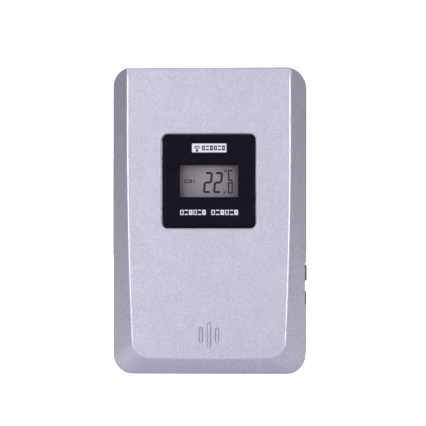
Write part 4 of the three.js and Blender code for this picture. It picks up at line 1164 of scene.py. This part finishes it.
def makeScrew(name, sizes):
    # a pan-head screw about its own axis, the underside of its head at the origin
    radius, head, height, length = sizes["shank"], sizes["head"], sizes["height"], sizes["length"]
    pitch, root, wide = sizes["pitch"], -threadDepth, head - radius
    levels = [(-length, 0.1 - radius), (-length + radius, root)]
    y = -length + radius
    while y + pitch < -0.6:
        levels += [(y + pitch * 0.35, root), (y + pitch * 0.5, 0), (y + pitch * 0.65, root)]
        y += pitch
    levels += [(-0.5, root), (-0.4, 0), (0, 0), (0, wide), (height * 0.35, wide)]
    for step in range(1, 5):
        angle = step / 4 * math.pi / 2
        levels.append((height * (0.35 + 0.65 * math.sin(angle)),
                       head * (0.45 + 0.55 * math.cos(angle)) - radius))
    screw = makeRod("Y", radius, levels, (0, 0), 32, name)
    reach, bottom, above = head * 0.62, height * 0.45, height + 1
    cross = [makeBox((-reach, bottom, -crossHalf), (reach, above, crossHalf)),
             makeBox((-crossHalf, bottom, -reach), (crossHalf, above, reach))]
    combine(screw, [combine(cross[0], [cross[1]], "UNION")])
    faceOutwards(screw)
    evenShading(screw, 40)
    return screw


for kind, sizes in screwSizes.items():
    model = makeScrew(kind + "_model", sizes)
    for number in range(1, 5):
        node = f"{kind}_{number}"
        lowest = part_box(node)[0] / millimetre
        middle = middleOf(node)
        screw = twinOf(model)
        screw.name = f"{kind}_fine_{number}"
        screw.data.transform(Matrix.Translation(inMetres((middle.x, lowest.y + sizes["length"], middle.z))))
        place(screw, "housing", zinc, [node])
    bpy.data.objects.remove(model)
print("screws made")


# cells
cellSizes = {
    "radius": 5.25,
    "length": 44.5,
    "nub": (1.9, 1.0),  # radius and height
    "shoulder": 0.5,
    # levels of the flat end, then of the crimp, counted from the shoulder
    "flatEnd": [(0.25, -4.05), (0.25, -1.3), (0.0, -1.1), (0.0, -0.5), (0.15, -0.15), (0.5, 0)],
    "crimp": [(-1.5, 0), (-1.35, -0.12), (-1.15, -0.12), (-1.0, 0), (-0.35, 0), (-0.1, -0.12)],
}


def makeCell(node, sign, sizes):
    # the negative end starts the run; sign is +1 where the positive end points to +X
    radius, body = sizes["radius"], sizes["length"] - sizes["nub"][1]
    nub = sizes["nub"][0] - radius
    levels = sizes["flatEnd"] + [(body + along, offset) for along, offset in sizes["crimp"]]
    levels += [(body, -sizes["shoulder"]), (body, -1.5), (body - 0.25, -1.7), (body - 0.25, nub + 0.3),
               (body, nub), (sizes["length"] - 0.25, nub), (sizes["length"], nub - 0.25)]
    middle = middleOf(node)
    lowest, highest = [corner.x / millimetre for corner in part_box(node)]
    cell = makeRod("X", radius, levels, (0, 0), 64, node + "_cell")
    turn = Matrix.Identity(4) if sign > 0 else Matrix.Rotation(math.pi, 4, "Z")
    start = lowest if sign > 0 else highest
    cell.data.transform(Matrix.Translation(inMetres((start, middle.y, middle.z))) @ turn)
    evenShading(cell, 40)
    place(cell, "housing", makeCellJacket(node, sign), [node])


makeCell("battery_upper", -1, cellSizes)
makeCell("battery_lower", 1, cellSizes)
print("cells made")


# carried-over CAD nodes
nodeMaterials = {
    "lens_tape": tapeWhite, "display_frame": whitePlastic, "display_panel": displayPaintedShadeGrey,
    "rubber_strip_upper": rubberGrey, "rubber_strip_lower": rubberGrey, "main_board": boardGreen,
    "chip_blob": blackResin, "clock_crystal": nickel, "smoothing_capacitor": blackPlastic,
    "thermistor": blackResin,
    "radio_header": blackPlastic, "radio_board": boardGreen, "resonator_can": zinc, "antenna_coil": copper,
    "channel_switch": blackPlastic, "unit_switch": blackPlastic, "channel_plunger": whitePlastic,
    "unit_plunger": whitePlastic, "positive_contact": nickel, "negative_contact": nickel,
    "series_contact": nickel, "red_lead": redVinyl, "black_lead": blackVinyl,
}
for node, material in nodeMaterials.items():
    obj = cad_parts[node]
    obj.data.materials.clear()
    obj.data.materials.append(material)
    smoothByAngle(obj)
print("CAD nodes given their materials")


# floor, light and camera
studio = {
    "distance": 900.0,
    "azimuth": 2.3,
    "elevation": 0.6,
    "aim": (1.18, -8.0, 52.65),
    "frameHeight": 139.25,
    "worldStrength": 0.14,
    "mirroredWorld": 0.02,  # what the polished window mirrors is darker than what lights the paint
    "mirroredFloor": (0.12, 0.12, 0.12),
    "softboxes": [  # name, place, size, power
        ("left_key", (-0.66, -1.1, 0.17), (0.45, 0.9), 9.996),
        ("right_key", (0.66, -1.1, 0.17), (0.45, 0.9), 10.2),
        ("right_fill", (1.2, -0.25, 0.25), (0.5, 0.5), 0.306),
        ("top_fill", (0.0, -0.5, 1.4), (2.2, 2.2), 12.0),
        ("back_fill", (-0.5, 1.3, 0.55), (1.0, 1.0), 11.0),
    ],
    "lampAim": (0, 0, 0.05),
    "backdrop": 1.1,  # brightness behind the object
    "floorSize": 3,
    "floorColor": (0.93, 0.93, 0.94),
    "floorGlow": 0.9,
    "sensorWidth": 36.0,
}


def addSoftbox(name, position, size, power, aim):
    lamp = bpy.data.lights.new(name, "AREA")
    lamp.shape = "RECTANGLE"
    lamp.size, lamp.size_y = size
    lamp.energy = power
    obj = bpy.data.objects.new(name, lamp)
    bpy.context.collection.objects.link(obj)
    obj.location = position
    obj.rotation_euler = (Vector(aim) - obj.location).to_track_quat("-Z", "Y").to_euler()


def makeFloor(look):
    # glows only to the eye, and is darker in mirror-smooth pieces
    deselectAll()
    bpy.ops.mesh.primitive_plane_add(size=look["floorSize"], location=(0, 0, 0))
    floor = keepPlace("studio_floor")
    material, shader = newMaterial("pale_floor", 0.9, 0.0, look["floorColor"])
    path = addNode(material, "ShaderNodeLightPath")
    glow = addNode(material, "ShaderNodeEmission", Strength=look["floorGlow"])
    shade = addNode(material, "ShaderNodeBsdfDiffuse", Color=(*look["mirroredFloor"], 1))
    mirrored = addNode(material, "ShaderNodeMixShader")
    lit = addNode(material, "ShaderNodeAddShader")
    seen = addNode(material, "ShaderNodeMixShader")
    connect(material, path, "Is Singular Ray", mirrored, "Fac")
    connect(material, path, "Is Camera Ray", seen, "Fac")
    connect(material, shader, "BSDF", mirrored, 1)
    connect(material, shade, "BSDF", mirrored, 2)
    connect(material, shader, "BSDF", lit, 0)
    connect(material, glow, "Emission", lit, 1)
    connect(material, mirrored, "Shader", seen, 1)
    connect(material, lit, "Shader", seen, 2)
    connect(material, seen, "Shader", material.node_tree.nodes["Material Output"], "Surface")
    floor.data.materials.append(material)


def makeAir(look):
    world = bpy.data.worlds.new("studio_air")
    world.use_nodes = True
    air = world.node_tree.nodes["Background"]
    air.inputs["Color"].default_value = (0.97, 0.97, 1.0, 1)
    level = addNode(world, "ShaderNodeMapRange")
    level.inputs["To Min"].default_value = look["worldStrength"]
    level.inputs["To Max"].default_value = look["mirroredWorld"]
    backdrop = addNode(world, "ShaderNodeBackground", Color=(1, 1, 1, 1), Strength=look["backdrop"])
    path = addNode(world, "ShaderNodeLightPath")
    mix = addNode(world, "ShaderNodeMixShader")
    connect(world, path, "Is Singular Ray", level, "Value")
    connect(world, level, "Result", air, "Strength")
    connect(world, path, "Is Camera Ray", mix, "Fac")
    connect(world, air, "Background", mix, 1)
    connect(world, backdrop, "Background", mix, 2)
    connect(world, mix, "Shader", world.node_tree.nodes["World Output"], "Surface")
    bpy.context.scene.world = world


def makeStudio(look):
    makeFloor(look)
    makeAir(look)
    for softbox in look["softboxes"]:
        addSoftbox(*softbox, look["lampAim"])

    camera = bpy.data.cameras.new("studio_camera")
    camera.sensor_width = look["sensorWidth"]
    camera.lens = look["sensorWidth"] * look["distance"] / look["frameHeight"]
    camera.clip_start, camera.clip_end = 0.01, 20
    obj = bpy.data.objects.new("studio_camera", camera)
    bpy.context.collection.objects.link(obj)
    turn, rise = math.radians(look["azimuth"]), math.radians(look["elevation"])
    back = Vector((math.sin(turn) * math.cos(rise), -math.cos(turn) * math.cos(rise), math.sin(rise)))
    obj.location = inMetres(look["aim"]) + back * look["distance"] * millimetre
    obj.rotation_euler = (-back).to_track_quat("-Z", "Y").to_euler()
    bpy.context.scene.camera = obj
    bpy.context.scene.view_settings.view_transform = "Standard"


makeStudio(studio)
print("studio made")
